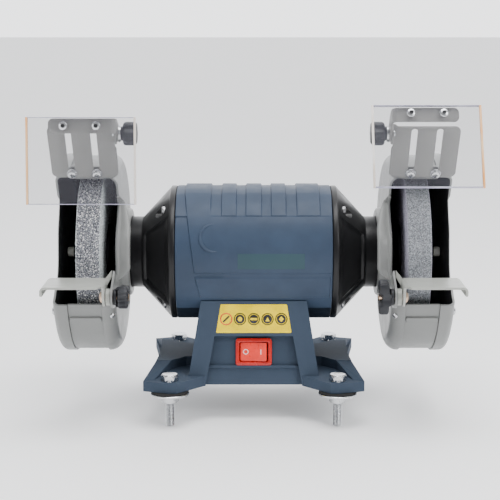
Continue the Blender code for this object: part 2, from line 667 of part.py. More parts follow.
def main():
    clear_scene()
    blue = material("slate_blue_paint", (0.075, 0.115, 0.165), 0.5)
    black = material("black_paint", (0.012, 0.012, 0.014), 0.35)
    grey = material("guard_grey_paint", (0.5, 0.52, 0.52), 0.4)
    sheet = material("grey_plate_paint", (0.3, 0.3, 0.28), 0.5)
    pale = material("tool_rest_paint", (0.55, 0.57, 0.53), 0.4)
    zinc = material("zinc_plate", (0.62, 0.63, 0.64), 0.25, 1.0)
    steel = material("steel", (0.4, 0.4, 0.41), 0.35, 1.0)
    iron = material("core_iron", (0.2, 0.19, 0.19), 0.5, 1.0)
    copper = material("copper", (0.6, 0.25, 0.12), 0.35, 1.0)
    plastic = material("dark_plastic", (0.03, 0.03, 0.035), 0.5)
    rubber = material("rubber", (0.01, 0.01, 0.01), 0.85)
    clear = material("clear_pane", (0.9, 0.92, 0.95), 0.05)
    red = material("switch_red", (0.6, 0.03, 0.02), 0.3)
    bright_red = material("rocker_red", (0.9, 0.09, 0.06), 0.3)
    coarse = material("coarse_grit", (0.25, 0.26, 0.28), 0.8)
    fine = material("fine_grit", (0.3, 0.31, 0.33), 0.85)

    housing = motor_housing(blue)
    wire_passage(housing, base(blue))
    base_cover(black)
    capacitor(plastic)
    cable_gland(plastic)
    switch(red, bright_red)
    foot_fasteners(zinc, rubber)
    stator(iron, copper)

    spindle = empty("spindle", to_world(0, 0, 0))
    rotor(spindle, steel, iron, plastic)
    for word, side in SIDES.items():
        end_bell(f"end_bell_{word}", side, black)
        bearing(f"bearing_outer_{word}", side, 14, BEARING_R, steel)
        bearing(f"bearing_inner_{word}", side, BEARING_BORE_R, 11, steel, spindle)
        wheel_set(word, side, spindle, steel, coarse if side < 0 else fine)
        guard_inner(word, side, grey)
        guard_outer(word, side, grey)
        tool_rest(word, side, pale, zinc, plastic)
        spark_plate(word, side, sheet)
        eye_shield(word, side, sheet, clear, plastic)


main()
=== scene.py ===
"""Looks of the double-wheel bench grinder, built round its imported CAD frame.

Places are given from the middle of the spindle in millimetres: x to the right, f forwards to the operator,
z up. at() turns them into metres. Side pieces are written for the right and mirrored by a side of -1 or +1.
"""
import json
import math
import random

import bmesh
import bpy
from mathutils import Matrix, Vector, noise

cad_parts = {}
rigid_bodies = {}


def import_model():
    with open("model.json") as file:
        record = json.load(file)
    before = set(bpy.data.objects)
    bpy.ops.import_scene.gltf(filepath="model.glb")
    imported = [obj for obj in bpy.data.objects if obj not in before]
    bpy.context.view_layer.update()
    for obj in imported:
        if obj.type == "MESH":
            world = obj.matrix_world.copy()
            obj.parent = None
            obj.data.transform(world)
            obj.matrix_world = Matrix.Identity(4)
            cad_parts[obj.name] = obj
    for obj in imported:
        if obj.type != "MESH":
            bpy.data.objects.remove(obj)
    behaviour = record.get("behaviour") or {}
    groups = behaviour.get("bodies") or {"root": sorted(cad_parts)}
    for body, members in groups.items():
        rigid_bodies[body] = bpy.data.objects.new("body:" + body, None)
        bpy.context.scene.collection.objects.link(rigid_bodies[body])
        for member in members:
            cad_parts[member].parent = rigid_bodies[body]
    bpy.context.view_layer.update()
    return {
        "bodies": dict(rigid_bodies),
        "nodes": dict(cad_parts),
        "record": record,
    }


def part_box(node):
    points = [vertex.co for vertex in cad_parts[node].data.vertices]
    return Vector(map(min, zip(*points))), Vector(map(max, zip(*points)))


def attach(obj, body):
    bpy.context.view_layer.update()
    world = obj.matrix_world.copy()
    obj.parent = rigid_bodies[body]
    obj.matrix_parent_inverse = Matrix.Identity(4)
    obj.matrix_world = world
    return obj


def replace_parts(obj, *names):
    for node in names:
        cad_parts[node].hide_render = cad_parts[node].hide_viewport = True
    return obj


MM = 0.001
SIDES = {"left": -1, "right": 1}
FEET = ("front_left", "front_right", "rear_left", "rear_right")
ROOM_FRONT, ROOM_BACK = 0.45, 2.8  # brightness of the studio walls

# ---- dimensions that the pieces share with the frame, mm ----
PLATE_ANGLE = 57.0  # the spark plate stands along this radius
SHEET = 1.8  # guard sheet
LIP_ANGLE = -21.4  # lower end of the guard's opening
REST_BOLT_F, REST_BOLT_Z = 97.0, -21.0
REST_TOP = -8.0
CHEEK_X, STEP_X, SPLIT_X, COVER_X = 115.9, 127.5, 156.5, 169.0
SHELL_R, CORNER_R, COVER_CORNER, BAND_DROP, BORE_R = 87.5, 11.0, 6.0, 1.5, 20.0
FLANGE_X, COLLAR_X, COLLAR_R = 105.4, 108.0, 39.0  # the flange along the guard's opening, and its collar
BEAD_ANGLE, SCREW_ANGLE, SCREW_X = -31.5, -29.5, 119.6
KNOB_TURN = {-1: 0.0, 1: 80.0}
PLATE_SPAN, PLATE_X, SLOT_X = (87.6, 141.0), (114.5, 170.5), (132.5, 153.5)
PIVOT_ALONG, PIVOT_OFF = 137.0, 5.0  # shield pivot: along the plate's radius, and in front of the plate
SHIELD_TILT = {-1: 6.0, 1: 27.0}  # degrees from upright
STRIP_F, STRIP_Z, STRIP_HIGH, STRIP_OUT = 25.9, 5.6, 12.0, 165.0
ARM_X, PANE_X, PANE_HIGH = (110.9, 112.6), (94.3, 182.6), 70.0
BARREL_R, BARREL_BORE, BARREL_END = 59.5, 53.0, 67.2
BANDS = [(-57.3, -36.6), (-28.1, -14.6), (-7.1, 7.1), (14.6, 28.1), (36.6, 57.3)]
PANEL_TOP, PANEL_FOOT = 40.0, -8.1  # degrees round the barrel, up from the front
LOWER_FROM, LOWER_TO = -31.3, -12.0  # the lower panel
PANEL_SLANT = [(-31.3, -45.9), (-12, -50.3), (-8, -50.6), (40, -57.2), (65.5, -59.6)]  # left edge: degrees, x
TOP_RIDGE, UNDER_RIDGE = 65.5, -44.5
PLAIN, PANEL_RISE, BROW_RISE, BAND_TOP = -0.5, 1.2, 0.9, 1.5  # levels of the barrel's relief
EDGE, BAND_SLOPE = 0.8, 0.4  # width of the relief's edges, and how far a band's sides slope in
HOOK_AT = 33.0  # degrees up from which the first band stands out
GROOVE_FADE, PANEL_END = -27.0, 65.2  # across: where a groove fades, and where the lower panel ends
CRESCENT_X, CRESCENT_AT, CRESCENT_R = -33.8, 21.0, 12.0
PLATE_FROM_TO, PLATE_DEGREES = (-14.0, 43.5), (-4.5, 8.0)  # the blank plate on the panel
BELL_SUNK = 2.6
FACE_TOP_F, FACE_TOP_Z, FACE_FOOT_F, FOOT_TOP = 50.0, -34.5, 60.0, -98.3
LEDGE_DOWN = 57.2
RECESS_DEEP, SWITCH_DOWN, SWITCH_WIDE, SWITCH_HIGH = 7.0, 44.3, 31.4, 24.0
ROCKER_WIDE, ROCKER_HIGH, ROCKER_TILT, ROCKER_PIVOT = 23.2, 15.8, 10.0, -7.6
WELL_X, WELL_R = 139.0, 86.2  # middle of a wheel, and how far out the painted shade inside a guard reaches
WELL_SKIN = SHEET * 0.6  # faces nearer than this to a guard's outer side don't get the painted shade
# finish, roughness, columns and turns of each wheel
WHEELS = {"left": ("coarse", 0.55, 22, 460), "right": ("fine", 0.22, 26, 560)}
SHIELD_BODY = {-1: "shield_left", 1: "shield_right"}

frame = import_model()
NODES = frame["nodes"]
JOINTS = {joint["name"]: joint for joint in frame["record"]["behaviour"]["joints"]}
AXIS = Vector(JOINTS["spindle_spin"]["pos_m"])
BODY_OF = {empty: name for name, empty in frame["bodies"].items()}


# ---- places ----
def at(x, f, z):
    """Metres in the frame, from millimetres across, forward of and above the spindle's middle."""
    return AXIS + Vector((x, -f, z)) * MM


def reach(node):
    """The lowest and highest x, f and z of a CAD node, in millimetres from the spindle's middle."""
    low, high = (Vector(corner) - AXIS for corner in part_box(node))
    return {"x": (low.x / MM, high.x / MM), "f": (-high.y / MM, -low.y / MM), "z": (low.z / MM, high.z / MM)}


def from_spindle(point):
    offset = (Vector(point) - AXIS) / MM
    return offset.x, -offset.y, offset.z


# ---- materials ----
class Finish:
    """A Principled material whose colour, roughness and bump are built from procedural nodes."""

    def __init__(self, name, roughness, metallic=0.0, **sockets):
        self.material = bpy.data.materials.new(name)
        self.material.use_nodes = True
        self.nodes = self.material.node_tree.nodes
        self.links = self.material.node_tree.links
        self.shader = self.nodes["Principled BSDF"]
        self.place = self.nodes.new("ShaderNodeTexCoord").outputs["Object"]
        self.shader.inputs["Roughness"].default_value = roughness
        self.shader.inputs["Metallic"].default_value = metallic
        for socket, value in sockets.items():
            self.shader.inputs[socket.replace("_", " ")].default_value = value
        self.height = None

    def stretched(self, scale):
        """Coordinates stretched by a scale for each axis, for streaks and brushing."""
        node = self.nodes.new("ShaderNodeMapping")
        node.inputs["Scale"].default_value = scale
        self.links.new(self.place, node.inputs["Vector"])
        return node.outputs["Vector"]

    def noise(self, scale, detail=4.0, rough=0.55, place=None):
        node = self.nodes.new("ShaderNodeTexNoise")
        node.inputs["Scale"].default_value = scale
        node.inputs["Detail"].default_value = detail
        node.inputs["Roughness"].default_value = rough
        self.links.new(place or self.place, node.inputs["Vector"])
        return node.outputs["Fac"]

    def cells(self, scale, output="Color"):
        node = self.nodes.new("ShaderNodeTexVoronoi")
        node.inputs["Scale"].default_value = scale
        self.links.new(self.place, node.inputs["Vector"])
        return node.outputs[output]

    def ramp(self, source, *stops):
        """Colours or greys along a source value: stops are (place, value)."""
        node = self.nodes.new("ShaderNodeValToRGB")
        self.links.new(source, node.inputs["Fac"])
        elements = node.color_ramp.elements
        while len(elements) < len(stops):
            elements.new(0.5)
        for element, (place, value) in zip(elements, stops):
            element.position = place
            element.color = (*value, 1.0) if isinstance(value, tuple) else (value, value, value, 1.0)
        return node.outputs["Color"]

    def mix(self, factor, low, high, blend="MIX"):
        node = self.nodes.new("ShaderNodeMix")
        node.data_type = "RGBA"
        node.blend_type = blend
        for socket, value in ((node.inputs["Factor"], factor), (node.inputs[6], low), (node.inputs[7], high)):
            if isinstance(value, bpy.types.NodeSocket):
                self.links.new(value, socket)
            elif isinstance(value, tuple):
                socket.default_value = (*value, 1.0)
            else:
                socket.default_value = value
        return node.outputs[2]

    def colour(self, source):
        self.links.new(source, self.shader.inputs["Base Color"])

    def roughness(self, source):
        self.links.new(source, self.shader.inputs["Roughness"])

    def mottle(self, source, colour, dark, light):
        """The base colour, from a darker to a lighter share of itself."""
        self.colour(self.ramp(source, (0.3, shade(colour, dark)), (0.7, shade(colour, light))))

    def gloss(self, source, low, high):
        self.roughness(self.ramp(source, (0.3, low), (0.7, high)))

    def bump(self, source, strength, distance_mm):
        node = self.nodes.new("ShaderNodeBump")
        node.inputs["Strength"].default_value = strength
        node.inputs["Distance"].default_value = distance_mm * MM
        self.links.new(source, node.inputs["Height"])
        if self.height:
            self.links.new(self.height, node.inputs["Normal"])
        self.height = node.outputs["Normal"]
        self.links.new(self.height, self.shader.inputs["Normal"])


def shade(colour, share):
    return tuple(channel * share for channel in colour)


def paint(name, colour, roughness, grain=900.0, strength=0.12, spread=0.12, **sockets):
    """Sprayed paint: a soft mottle in colour and gloss, and a fine orange-peel bump."""
    finish = Finish(name, roughness, **sockets)
    finish.mottle(finish.noise(35.0, 5.0), colour, 1 - spread, 1 + spread)
    finish.gloss(finish.noise(90.0), roughness - 0.06, roughness + 0.08)
    finish.bump(finish.noise(grain, 3.0), strength, 0.15)
    return finish.material


def cast_paint(name, colour):
    """Paint over a sand casting: a coarser grain shows through it."""
    finish = Finish(name, 0.6, Specular_IOR_Level=0.04)
    finish.mottle(finish.noise(28.0, 6.0), colour, 0.93, 1.07)
    finish.gloss(finish.noise(400.0), 0.58, 0.66)
    finish.bump(finish.noise(900.0, 3.0, 0.6), 0.2, 0.12)
    return finish.material


def metal(name, colour, roughness, streak=(1.0, 1.0, 1.0), strength=0.08):
    """Bare or plated metal: fine streaks along the worked direction and a slight tarnish."""
    finish = Finish(name, roughness, 1.0)
    finish.mottle(finish.noise(60.0, 5.0), colour, 0.8, 1.0)
    streaks = finish.noise(500.0, 3.0, place=finish.stretched(streak))
    finish.roughness(finish.ramp(streaks, (0.3, roughness * 0.75), (0.75, roughness * 1.35)))
    finish.bump(streaks, strength, 0.08)
    return finish.material


def plastic(name, colour, roughness, grain=1400.0, strength=0.15, shine=0.5):
    """Moulded plastic with a spark-eroded grain."""
    finish = Finish(name, roughness, Specular_IOR_Level=shine)
    finish.mottle(finish.noise(70.0), colour, 0.85, 1.2)
    finish.gloss(finish.noise(300.0), roughness - 0.05, roughness + 0.08)
    finish.bump(finish.noise(grain, 2.0), strength, 0.1)
    return finish.material


def grit(name, dark, light, scale, sparkle, pits, glint=0.9):
    """Vitrified abrasive: grains of many greys, dark pores between them and painted glints on some grains."""
    finish = Finish(name, 0.7, Specular_IOR_Level=0.6)
    grain = finish.ramp(finish.cells(scale), (0.15, dark), (0.55, light), (0.85, shade(light, 1.5)))
    pore = finish.ramp(finish.noise(scale * 0.8, 4.0, 0.7), (0.38, 0.25), (0.55, 1.0))
    toned = finish.mix(pits, grain, finish.mix(1.0, grain, pore, "MULTIPLY"))
    # painted glints: some grain cells are lifted to a bright grey in the colour
    painted_glint = finish.ramp(finish.cells(scale * 0.9), (1 - sparkle, 0.0), (1 - sparkle + 0.03, 1.0))
    finish.colour(finish.mix(painted_glint, toned, (glint, glint, glint)))
    finish.roughness(finish.ramp(finish.cells(scale * 1.1), (0.1, 0.25), (0.6, 0.85)))
    finish.bump(finish.cells(scale, "Distance"), 0.6, 0.5)
    finish.bump(finish.noise(scale * 2.0, 3.0), 0.3, 0.2)
    return finish.material


def clear_plastic(name, tint, alpha, roughness):
    """Clear sheet: mostly see-through, with a faint tint and fine wiping marks in its gloss."""
    finish = Finish(name, roughness, Alpha=alpha, Specular_IOR_Level=0.2)
    finish.mottle(finish.noise(8.0), tint, 0.97, 1.0)
    scratches = finish.noise(300.0, 2.0, place=finish.stretched((1.0, 1.0, 0.06)))
    finish.roughness(finish.ramp(scratches, (0.45, roughness), (0.8, roughness + 0.1)))
    return finish.material


def painted_edge_glow(name, deep, pale):
    """A sawn edge of clear sheet, painted with the light it gathers: streaked from a deep to a pale tint."""
    finish = Finish(name, 0.35, Alpha=0.9)
    tint = finish.noise(60.0, 3.0, place=finish.stretched((1.0, 1.0, 0.3)))
    finish.colour(finish.ramp(tint, (0.35, deep), (0.65, pale)))
    finish.bump(finish.noise(900.0, place=finish.stretched((1.0, 1.0, 0.1))), 0.2, 0.1)
    return finish.material


SLATE = (0.034, 0.052, 0.086)
PAINTS = {
    "blue": paint("blue_housing_paint", SLATE, 0.44, 650.0, 0.2, Specular_IOR_Level=0.2),
    # painted shade: a darker copy of the blue for the barrel's underside
    "under": paint("blue_underside_painted_shade", shade(SLATE, 0.26), 0.5, 650.0, 0.2, Specular_IOR_Level=0.1),
    "teal": paint("plate_teal_paint", (0.026, 0.058, 0.074), 0.5, spread=0.04, Specular_IOR_Level=0.3),
    "base": cast_paint("blue_base_paint", (0.049, 0.067, 0.097)),
    "black": paint("black_bell_paint", (0.006, 0.006, 0.007), 0.34, strength=0.1, Specular_IOR_Level=0.3),
    "guard": paint("guard_grey_paint", (0.20, 0.205, 0.20), 0.36, spread=0.05),
    # painted shade: near black for the inside of a guard
    "inside_shade": paint("guard_inside_painted_shade", (0.018, 0.018, 0.018), 0.6, spread=0.2),
    "plate": paint("plate_grey_paint", (0.20, 0.20, 0.19), 0.42, grain=1500.0, spread=0.05),
    "rest": paint("rest_pale_paint", (0.36, 0.37, 0.34), 0.33, spread=0.05),
    "zinc": metal("zinc_plate", (0.62, 0.63, 0.645), 0.24),
    "steel": metal("turned_steel", (0.45, 0.45, 0.46), 0.32, (8.0, 1.0, 1.0)),
    "copper": metal("bolt_copper", (0.62, 0.45, 0.33), 0.34),
    "oxide": metal("black_oxide_steel", (0.02, 0.02, 0.021), 0.5),
    "tip": plastic("worn_steel_end", (0.75, 0.74, 0.66), 0.4),
    "knob": plastic("dark_knob_plastic", (0.015, 0.016, 0.02), 0.42, shine=0.35),
    "rubber": plastic("black_rubber", (0.010, 0.010, 0.010), 0.8, 700.0, 0.3),
    "switch": plastic("switch_red_plastic", (0.50, 0.008, 0.004), 0.22, 2500.0, 0.03),
    "rocker": plastic("rocker_red_plastic", (0.85, 0.035, 0.018), 0.3, 2500.0, 0.03),
    "mark": plastic("white_marking", (0.85, 0.83, 0.80), 0.5),
    "label": plastic("yellow_label", (0.95, 0.70, 0.0), 0.85, 2000.0, 0.02, 0.0),
    # black ink for the label, and painted shade at the floor of a hex socket
    "disc": plastic("black_label_ink_and_socket_shade", (0.015, 0.015, 0.018), 0.4, 2000.0, 0.02),
    "ring": plastic("red_label_ink", (0.75, 0.06, 0.02), 0.4, 2000.0, 0.02),
    "coarse": grit("coarse_grit", (0.02, 0.023, 0.035), (0.24, 0.25, 0.28), 1600.0, 0.24, 1.0),
    # painted light: lighter copies of the grits for the wheels' side faces, which the guards shade
    "coarse_side": grit("coarse_side_grit_painted_light", (0.34, 0.37, 0.38), (0.50, 0.54, 0.55), 900.0, 0.05, 0.3),
    "fine": grit("fine_grit", (0.12, 0.13, 0.15), (0.27, 0.285, 0.31), 1300.0, 0.06, 0.6, 0.6),
    "fine_side": grit("fine_side_grit_painted_light", (0.22, 0.21, 0.27), (0.34, 0.33, 0.40), 1300.0, 0.03, 0.3, 0.6),
    "clear": clear_plastic("clear_pane", (0.19, 0.19, 0.225), 0.10, 0.08),
    # painted glow for the pane's cut edges
    "glow": painted_edge_glow("pane_edge_painted_amber_glow", (0.85, 0.36, 0.10), (0.90, 0.62, 0.36)),
    "pale": painted_edge_glow("pane_edge_painted_pale_glow", (0.70, 0.62, 0.54), (0.85, 0.82, 0.80)),
    "line": painted_edge_glow("pane_edge_painted_lilac_glow", (0.34, 0.33, 0.44), (0.50, 0.50, 0.60)),
}


def stand_for(piece, node):
    """The piece takes a CAD node's place, on the same body."""
    piece.name = f"{node}_shape"
    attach(piece, BODY_OF[NODES[node].parent])
    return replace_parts(piece, node)


# ---- outlines ----
def polar(radius, degrees):
    """Forward and up of a point round the spindle, counted up from the front."""
    angle = math.radians(degrees)
    return radius * math.cos(angle), radius * math.sin(angle)


def on_plate(along, behind):
    """Forward and up of a point along the spark plate's radius and behind its face."""
    c, s = polar(1.0, PLATE_ANGLE)
    return along * c - behind * s, along * s + behind * c


def sided(side, profile):
    """A profile written for the right, on its own side."""
    return [(side * along, *rest) for along, *rest in profile]


def arc(centre, radius, start, end, steps):
    points = []
    for i in range(steps + 1):
        angle = math.radians(start + (end - start) * i / steps)
        points.append((centre[0] + radius * math.cos(angle), centre[1] + radius * math.sin(angle)))
    return points


def box_outline(low_u, high_u, low_v, high_v):
    return [(low_u, low_v), (high_u, low_v), (high_u, high_v), (low_u, high_v)]


def rounded(points, radius, steps=5):
    """An outline with arcs for corners; radius is one value, or one for each corner."""
    result = []
    for i, point in enumerate(points):
        r = radius[i] if isinstance(radius, (list, tuple)) else radius
        corner = Vector(point)
        before, after = Vector(points[i - 1]) - corner, Vector(points[(i + 1) % len(points)]) - corner
        if not r:
            result.append(tuple(corner))
            continue
        half = before.angle(after) / 2
        back = min(r / math.tan(half), 0.49 * before.length, 0.49 * after.length)
        r = back * math.tan(half)
        centre = corner + (before.normalized() + after.normalized()).normalized() * (r / math.sin(half))
        first = corner + before.normalized() * back - centre
        last = corner + after.normalized() * back - centre
        for k in range(steps + 1):
            result.append(tuple(centre + first.lerp(last, k / steps).normalized() * r))
    return result


def slot_outline(start, end, half_width, steps=6):
    """A round-ended slot between two middles, for cutting: it runs clockwise."""
    way = math.degrees(math.atan2(end[1] - start[1], end[0] - start[0]))
    outline = arc(end, half_width, way + 90, way - 90, steps)
    return outline + arc(start, half_width, way - 90, way - 270, steps)


def through(p, q, r, s, t):
    """The value at a share t of the way from q to r, on a curve that goes through p and s as well."""
    bend, twist = 2 * p - 5 * q + 4 * r - s, 3 * q - p - 3 * r + s
    return 0.5 * (2 * q + (r - p) * t + bend * t * t + twist * t**3)


def smooth_path(points, steps=6):
    """A curve through points, by Catmull and Rom's rule."""
    ends = [points[0], *points, points[-1]]
    path = []
    for a, b, c, d in zip(ends, ends[1:], ends[2:], ends[3:]):
        for k in range(steps):
            t = k / steps
            path.append(tuple(through(*values, t) for values in zip(a, b, c, d)))
    path.append(tuple(points[-1]))
    return path


# ---- meshes ----
def link(name, data):
    obj = bpy.data.objects.new(name, data)
    bpy.context.collection.objects.link(obj)
    return obj


def solid(name, bm, finish=None, crease=32):
    """An object from a closed bmesh already in metres, smooth but for its sharper edges."""
    bmesh.ops.recalc_face_normals(bm, faces=bm.faces)
    mesh = bpy.data.meshes.new(name)
    bm.to_mesh(mesh)
    bm.free()
    mesh.shade_smooth()
    mesh.set_sharp_from_angle(angle=math.radians(crease))
    if finish:
        mesh.materials.append(PAINTS[finish])
    return link(name, mesh)


def skin(name, rings, finish=None, closed=False, crease=32):
    """A solid through rings of (x, f, z) points, capped at its ends or closed on itself."""
    bm = bmesh.new()
    loops = [[bm.verts.new(at(*point)) for point in ring] for ring in rings]
    pairs = list(zip(loops, loops[1:]))
    if closed:
        pairs.append((loops[-1], loops[0]))
    else:
        bm.faces.new(loops[0])
        bm.faces.new(loops[-1])
    for low, high in pairs:
        for i in range(len(low)):
            j = (i + 1) % len(low)
            bm.faces.new((low[i], low[j], high[j], high[i]))
    return solid(name, bm, finish, crease)


def circle(angle):
    return 1.0


def hexagon(angle):
    """Six flats, as a share of the corner radius."""
    sixth = math.pi / 3
    return math.cos(sixth / 2) / math.cos(angle % sixth - sixth / 2)


def ring(axis, centre, along, radius, sides, shape=circle):
    """Points round an axis along x or z."""
    x, f, z = centre
    points = []
    for i in range(sides):
        angle = 2 * math.pi * i / sides
        r = radius * shape(angle)
        u, v = r * math.cos(angle), r * math.sin(angle)
        points.append((along, f + u, z + v) if axis == "x" else (x + u, f + v, along))
    return points


def turned(name, profile, finish=None, closed=True, sides=96, axis="x", centre=(0, 0, 0), crease=32):
    """A turned solid: profile is (along the axis, radius) or (along, radius, shape)."""
    rings = [ring(axis, centre, p[0], p[1], sides, *p[2:]) for p in profile]
    return skin(name, rings, finish, closed, crease)


def prism(name, outline, low, high, finish=None):
    """A straight solid: an (f, z) outline run along x."""
    return skin(name, [[(x, f, z) for f, z in outline] for x in (low, high)], finish)


def evaluated(obj):
    return bpy.data.meshes.new_from_object(obj.evaluated_get(bpy.context.evaluated_depsgraph_get()))


def settle(obj):
    """Applies an object's modifiers."""
    old, obj.data = obj.data, evaluated(obj)
    obj.modifiers.clear()
    bpy.data.meshes.remove(old)


def cut(obj, *tools):
    """Takes other solids out of an object."""
    for tool in tools:
        change = obj.modifiers.new(tool.name, "BOOLEAN")
        change.operation = "DIFFERENCE"
        change.solver = "EXACT"
        change.object = tool
    settle(obj)
    for tool in tools:
        bpy.data.objects.remove(tool, do_unlink=True)
    obj.data.shade_smooth()
    obj.data.set_sharp_from_angle(angle=math.radians(32))


def join(obj, *others):
    """Takes other meshes into an object, each keeping its finish."""
    bm = bmesh.new()
    slots = []
    for part in (obj, *others):
        first = len(bm.faces)
        bm.from_mesh(part.data)
        bm.faces.ensure_lookup_table()
        own = list(part.data.materials)
        for face in bm.faces[first:]:
            finish = own[face.material_index]
            if finish not in slots:
                slots.append(finish)
            face.material_index = slots.index(finish)
    obj.data.materials.clear()
    for finish in slots:
        obj.data.materials.append(finish)
    bm.to_mesh(obj.data)
    bm.free()
    for part in others:
        bpy.data.objects.remove(part, do_unlink=True)
    return obj


def soften(obj, width_mm):
    bevel = obj.modifiers.new("edge", "BEVEL")
    bevel.width = width_mm * MM
    bevel.segments = 2
    bevel.limit_method = "ANGLE"
    bevel.angle_limit = math.radians(32)
    bevel.harden_normals = True


def folded(u, w, line, way, radius):
    """Bends sheet down past a line: way is the side of the line that bends, radius the middle's."""
    beyond = way * (u - line)
    if beyond <= 0:
        return u, w
    turn = beyond / radius
    if turn < math.pi / 2:
        return line + way * (radius + w) * math.sin(turn), (radius + w) * math.cos(turn) - radius
    return line + way * (radius + w), radius * (math.pi / 2 - turn) - radius


def sheet(name, outlines, thick, place, finish, folds=(), edge=0.25):
    """A flat pattern with rounded edges, folded along lines of u, then put in place.

    The first outline runs anticlockwise, and the holes after it clockwise. A fold is (line, way, radius).
    """
    curve = bpy.data.curves.new(name, "CURVE")
    curve.dimensions = "2D"
    curve.fill_mode = "BOTH"
    curve.extrude = thick / 2 - edge
    curve.bevel_depth = edge
    curve.bevel_resolution = 1
    curve.offset = -edge
    for outline in outlines:
        spline = curve.splines.new("POLY")
        spline.points.add(len(outline) - 1)
        for point, (u, v) in zip(spline.points, outline):
            point.co = (u, v, 0, 1)
        spline.use_cyclic_u = True
    holder = link(name, curve)
    flat = evaluated(holder)
    bpy.data.objects.remove(holder, do_unlink=True)
    bm = bmesh.new()
    bm.from_mesh(flat)
    bpy.data.meshes.remove(flat)
    bmesh.ops.remove_doubles(bm, verts=bm.verts, dist=0.001)
    for line, way, radius in folds:
        for k in range(7):
            across = line + way * radius * math.pi / 2 * k / 6
            everything = bm.verts[:] + bm.edges[:] + bm.faces[:]
            bmesh.ops.bisect_plane(bm, geom=everything, plane_co=(across, 0, 0), plane_no=(1, 0, 0))
    for vert in bm.verts:
        u, v, w = vert.co
        for line, way, radius in folds:
            u, w = folded(u, w, line, way, radius)
        vert.co = at(*place(u, v, w))
    return solid(name, bm, finish)


# ---- fasteners ----
def facing(centre, normal):
    """A place function whose third value runs along a normal (x, f, z) from a centre."""
    out = Vector(normal).normalized()
    across = out.cross(Vector((0, 0, 1)) if abs(out.z) < 0.9 else Vector((1, 0, 0))).normalized()
    up = across.cross(out)

    def place(u, v, w):
        return Vector(centre) + across * u + up * v + out * w

    return place


def round_solid(name, place, profile, finish, sides=32, crease=32):
    """A turned solid in the frame of a place function: profile is (w, radius[, shape])."""
    rings = []
    for level, radius, *shape in profile:
        outline = shape[0] if shape else circle
        points = []
        for i in range(sides):
            angle = 2 * math.pi * i / sides
            r = radius * outline(angle)
            points.append(place(r * math.cos(angle), r * math.sin(angle), level))
        rings.append(points)
    return skin(name, rings, finish, crease=crease)


def cross_socket(name, place, depth, size):
    """A tapered cross that cuts a screw's drive."""
    arms = []
    for number, (wide, high) in enumerate(((size, size * 0.3), (size * 0.3, size))):
        rings = []
        for level, share in ((-depth, 0.55), (depth, 1.25)):
            u, v = wide * share / 2, high * share / 2
            rings.append([place(a * u, b * v, level) for a, b in ((-1, -1), (1, -1), (1, 1), (-1, 1))])
        arms.append(skin(f"{name}_{number}", rings))
    return arms


def pan_screw(name, centre, normal, radius, height, finish="zinc", drive="cross", washer=0.0):
    """A domed screw head with a cross or hexagon drive, on a washer if one is asked for."""
    place = facing(centre, normal)
    dome = [(-0.6, radius * 0.9), (0.0, radius * 0.97), (height * 0.35, radius)]
    dome += [(height * 0.75, radius * 0.86), (height * 0.95, radius * 0.6), (height, radius * 0.3)]
    head = round_solid(name, place, dome, finish, crease=50)
    if drive == "cross":

        def top(u, v, w):
            return place(u, v, height + w)

        cut(head, *cross_socket(f"{name}_drive", top, height * 0.7, radius * 1.1))
    else:
        socket = [(height * 0.35, radius * 0.5, hexagon), (height * 1.4, radius * 0.5, hexagon)]
        cut(head, round_solid(f"{name}_drive", place, socket, finish, 24))
        # a black floor in the hex socket: painted shade
        floor = [(height * 0.3, radius * 0.49, hexagon), (height * 0.55, radius * 0.49, hexagon)]
        join(head, round_solid(f"{name}_floor", place, floor, "disc", 24))
    if washer:
        flat = [(-0.9, washer * 0.97), (-0.75, washer), (-0.15, washer), (0.0, washer * 0.97)]
        join(head, round_solid(f"{name}_washer", place, flat, finish, 40))
    return head


# ---- motor ----
def ramp(value, edge, width):
    """From 0 before an edge to 1 after it, over a width."""
    return min(1.0, max(0.0, (value - edge) / width + 0.5))


def lerp(low, high, share):
    return low + (high - low) * share


def along_points(points, value):
    """Reads a line of (value, result) points."""
    for (v0, r0), (v1, r1) in zip(points, points[1:]):
        if value <= v1:
            return lerp(r0, r1, max(0.0, (value - v0) / (v1 - v0)))
    return points[-1][1]


def height_round(degrees):
    """Degrees up from the level, the same before and behind."""
    return degrees if degrees <= 90 else 180 - degrees if degrees <= 270 else degrees - 360


def barrel_relief(x, degrees):
    """How far the barrel's skin stands out of its plain round, in mm."""
    about = height_round(degrees)
    slant = along_points(PANEL_SLANT, about)
    inside = ramp(x, slant, EDGE)
    high = ramp(about, PANEL_TOP, EDGE)
    main = ramp(about, PANEL_FOOT, EDGE) * (1 - high)
    low = ramp(about, LOWER_FROM, EDGE) * (1 - ramp(about, LOWER_TO, 1.6)) * (1 - ramp(x, PANEL_END, EDGE))
    groove = ramp(about, LOWER_TO, 1.6) * (1 - ramp(about, PANEL_FOOT, EDGE))
    floor = lerp(0.0, 0.55, ramp(x, GROOVE_FADE, 4))
    level = PLAIN + inside * (PANEL_RISE * (main + low) + groove * floor * PANEL_RISE)
    brow = 1 - ramp(about, PANEL_TOP + 9, 16)
    level += high * (0.4 + BROW_RISE * brow + 0.1 * inside)
    first = inside * (1 - ramp(x, BANDS[0][1] - BAND_SLOPE, EDGE))
    rise = lerp(PLAIN + PANEL_RISE, BAND_TOP, min(1.0, max(0.0, (degrees - 34) / 18)))
    if degrees < 110:
        hook = ramp(degrees, HOOK_AT, 1.0)
        level = lerp(level, max(level, rise), first * hook)
    spans = [(left + BAND_SLOPE, right - BAND_SLOPE) for left, right in BANDS[1:]]
    others = sum(ramp(x, left, EDGE) * (1 - ramp(x, right, EDGE)) for left, right in spans)
    if degrees >= 110:
        others += first
    return lerp(level, BAND_TOP, others * high)


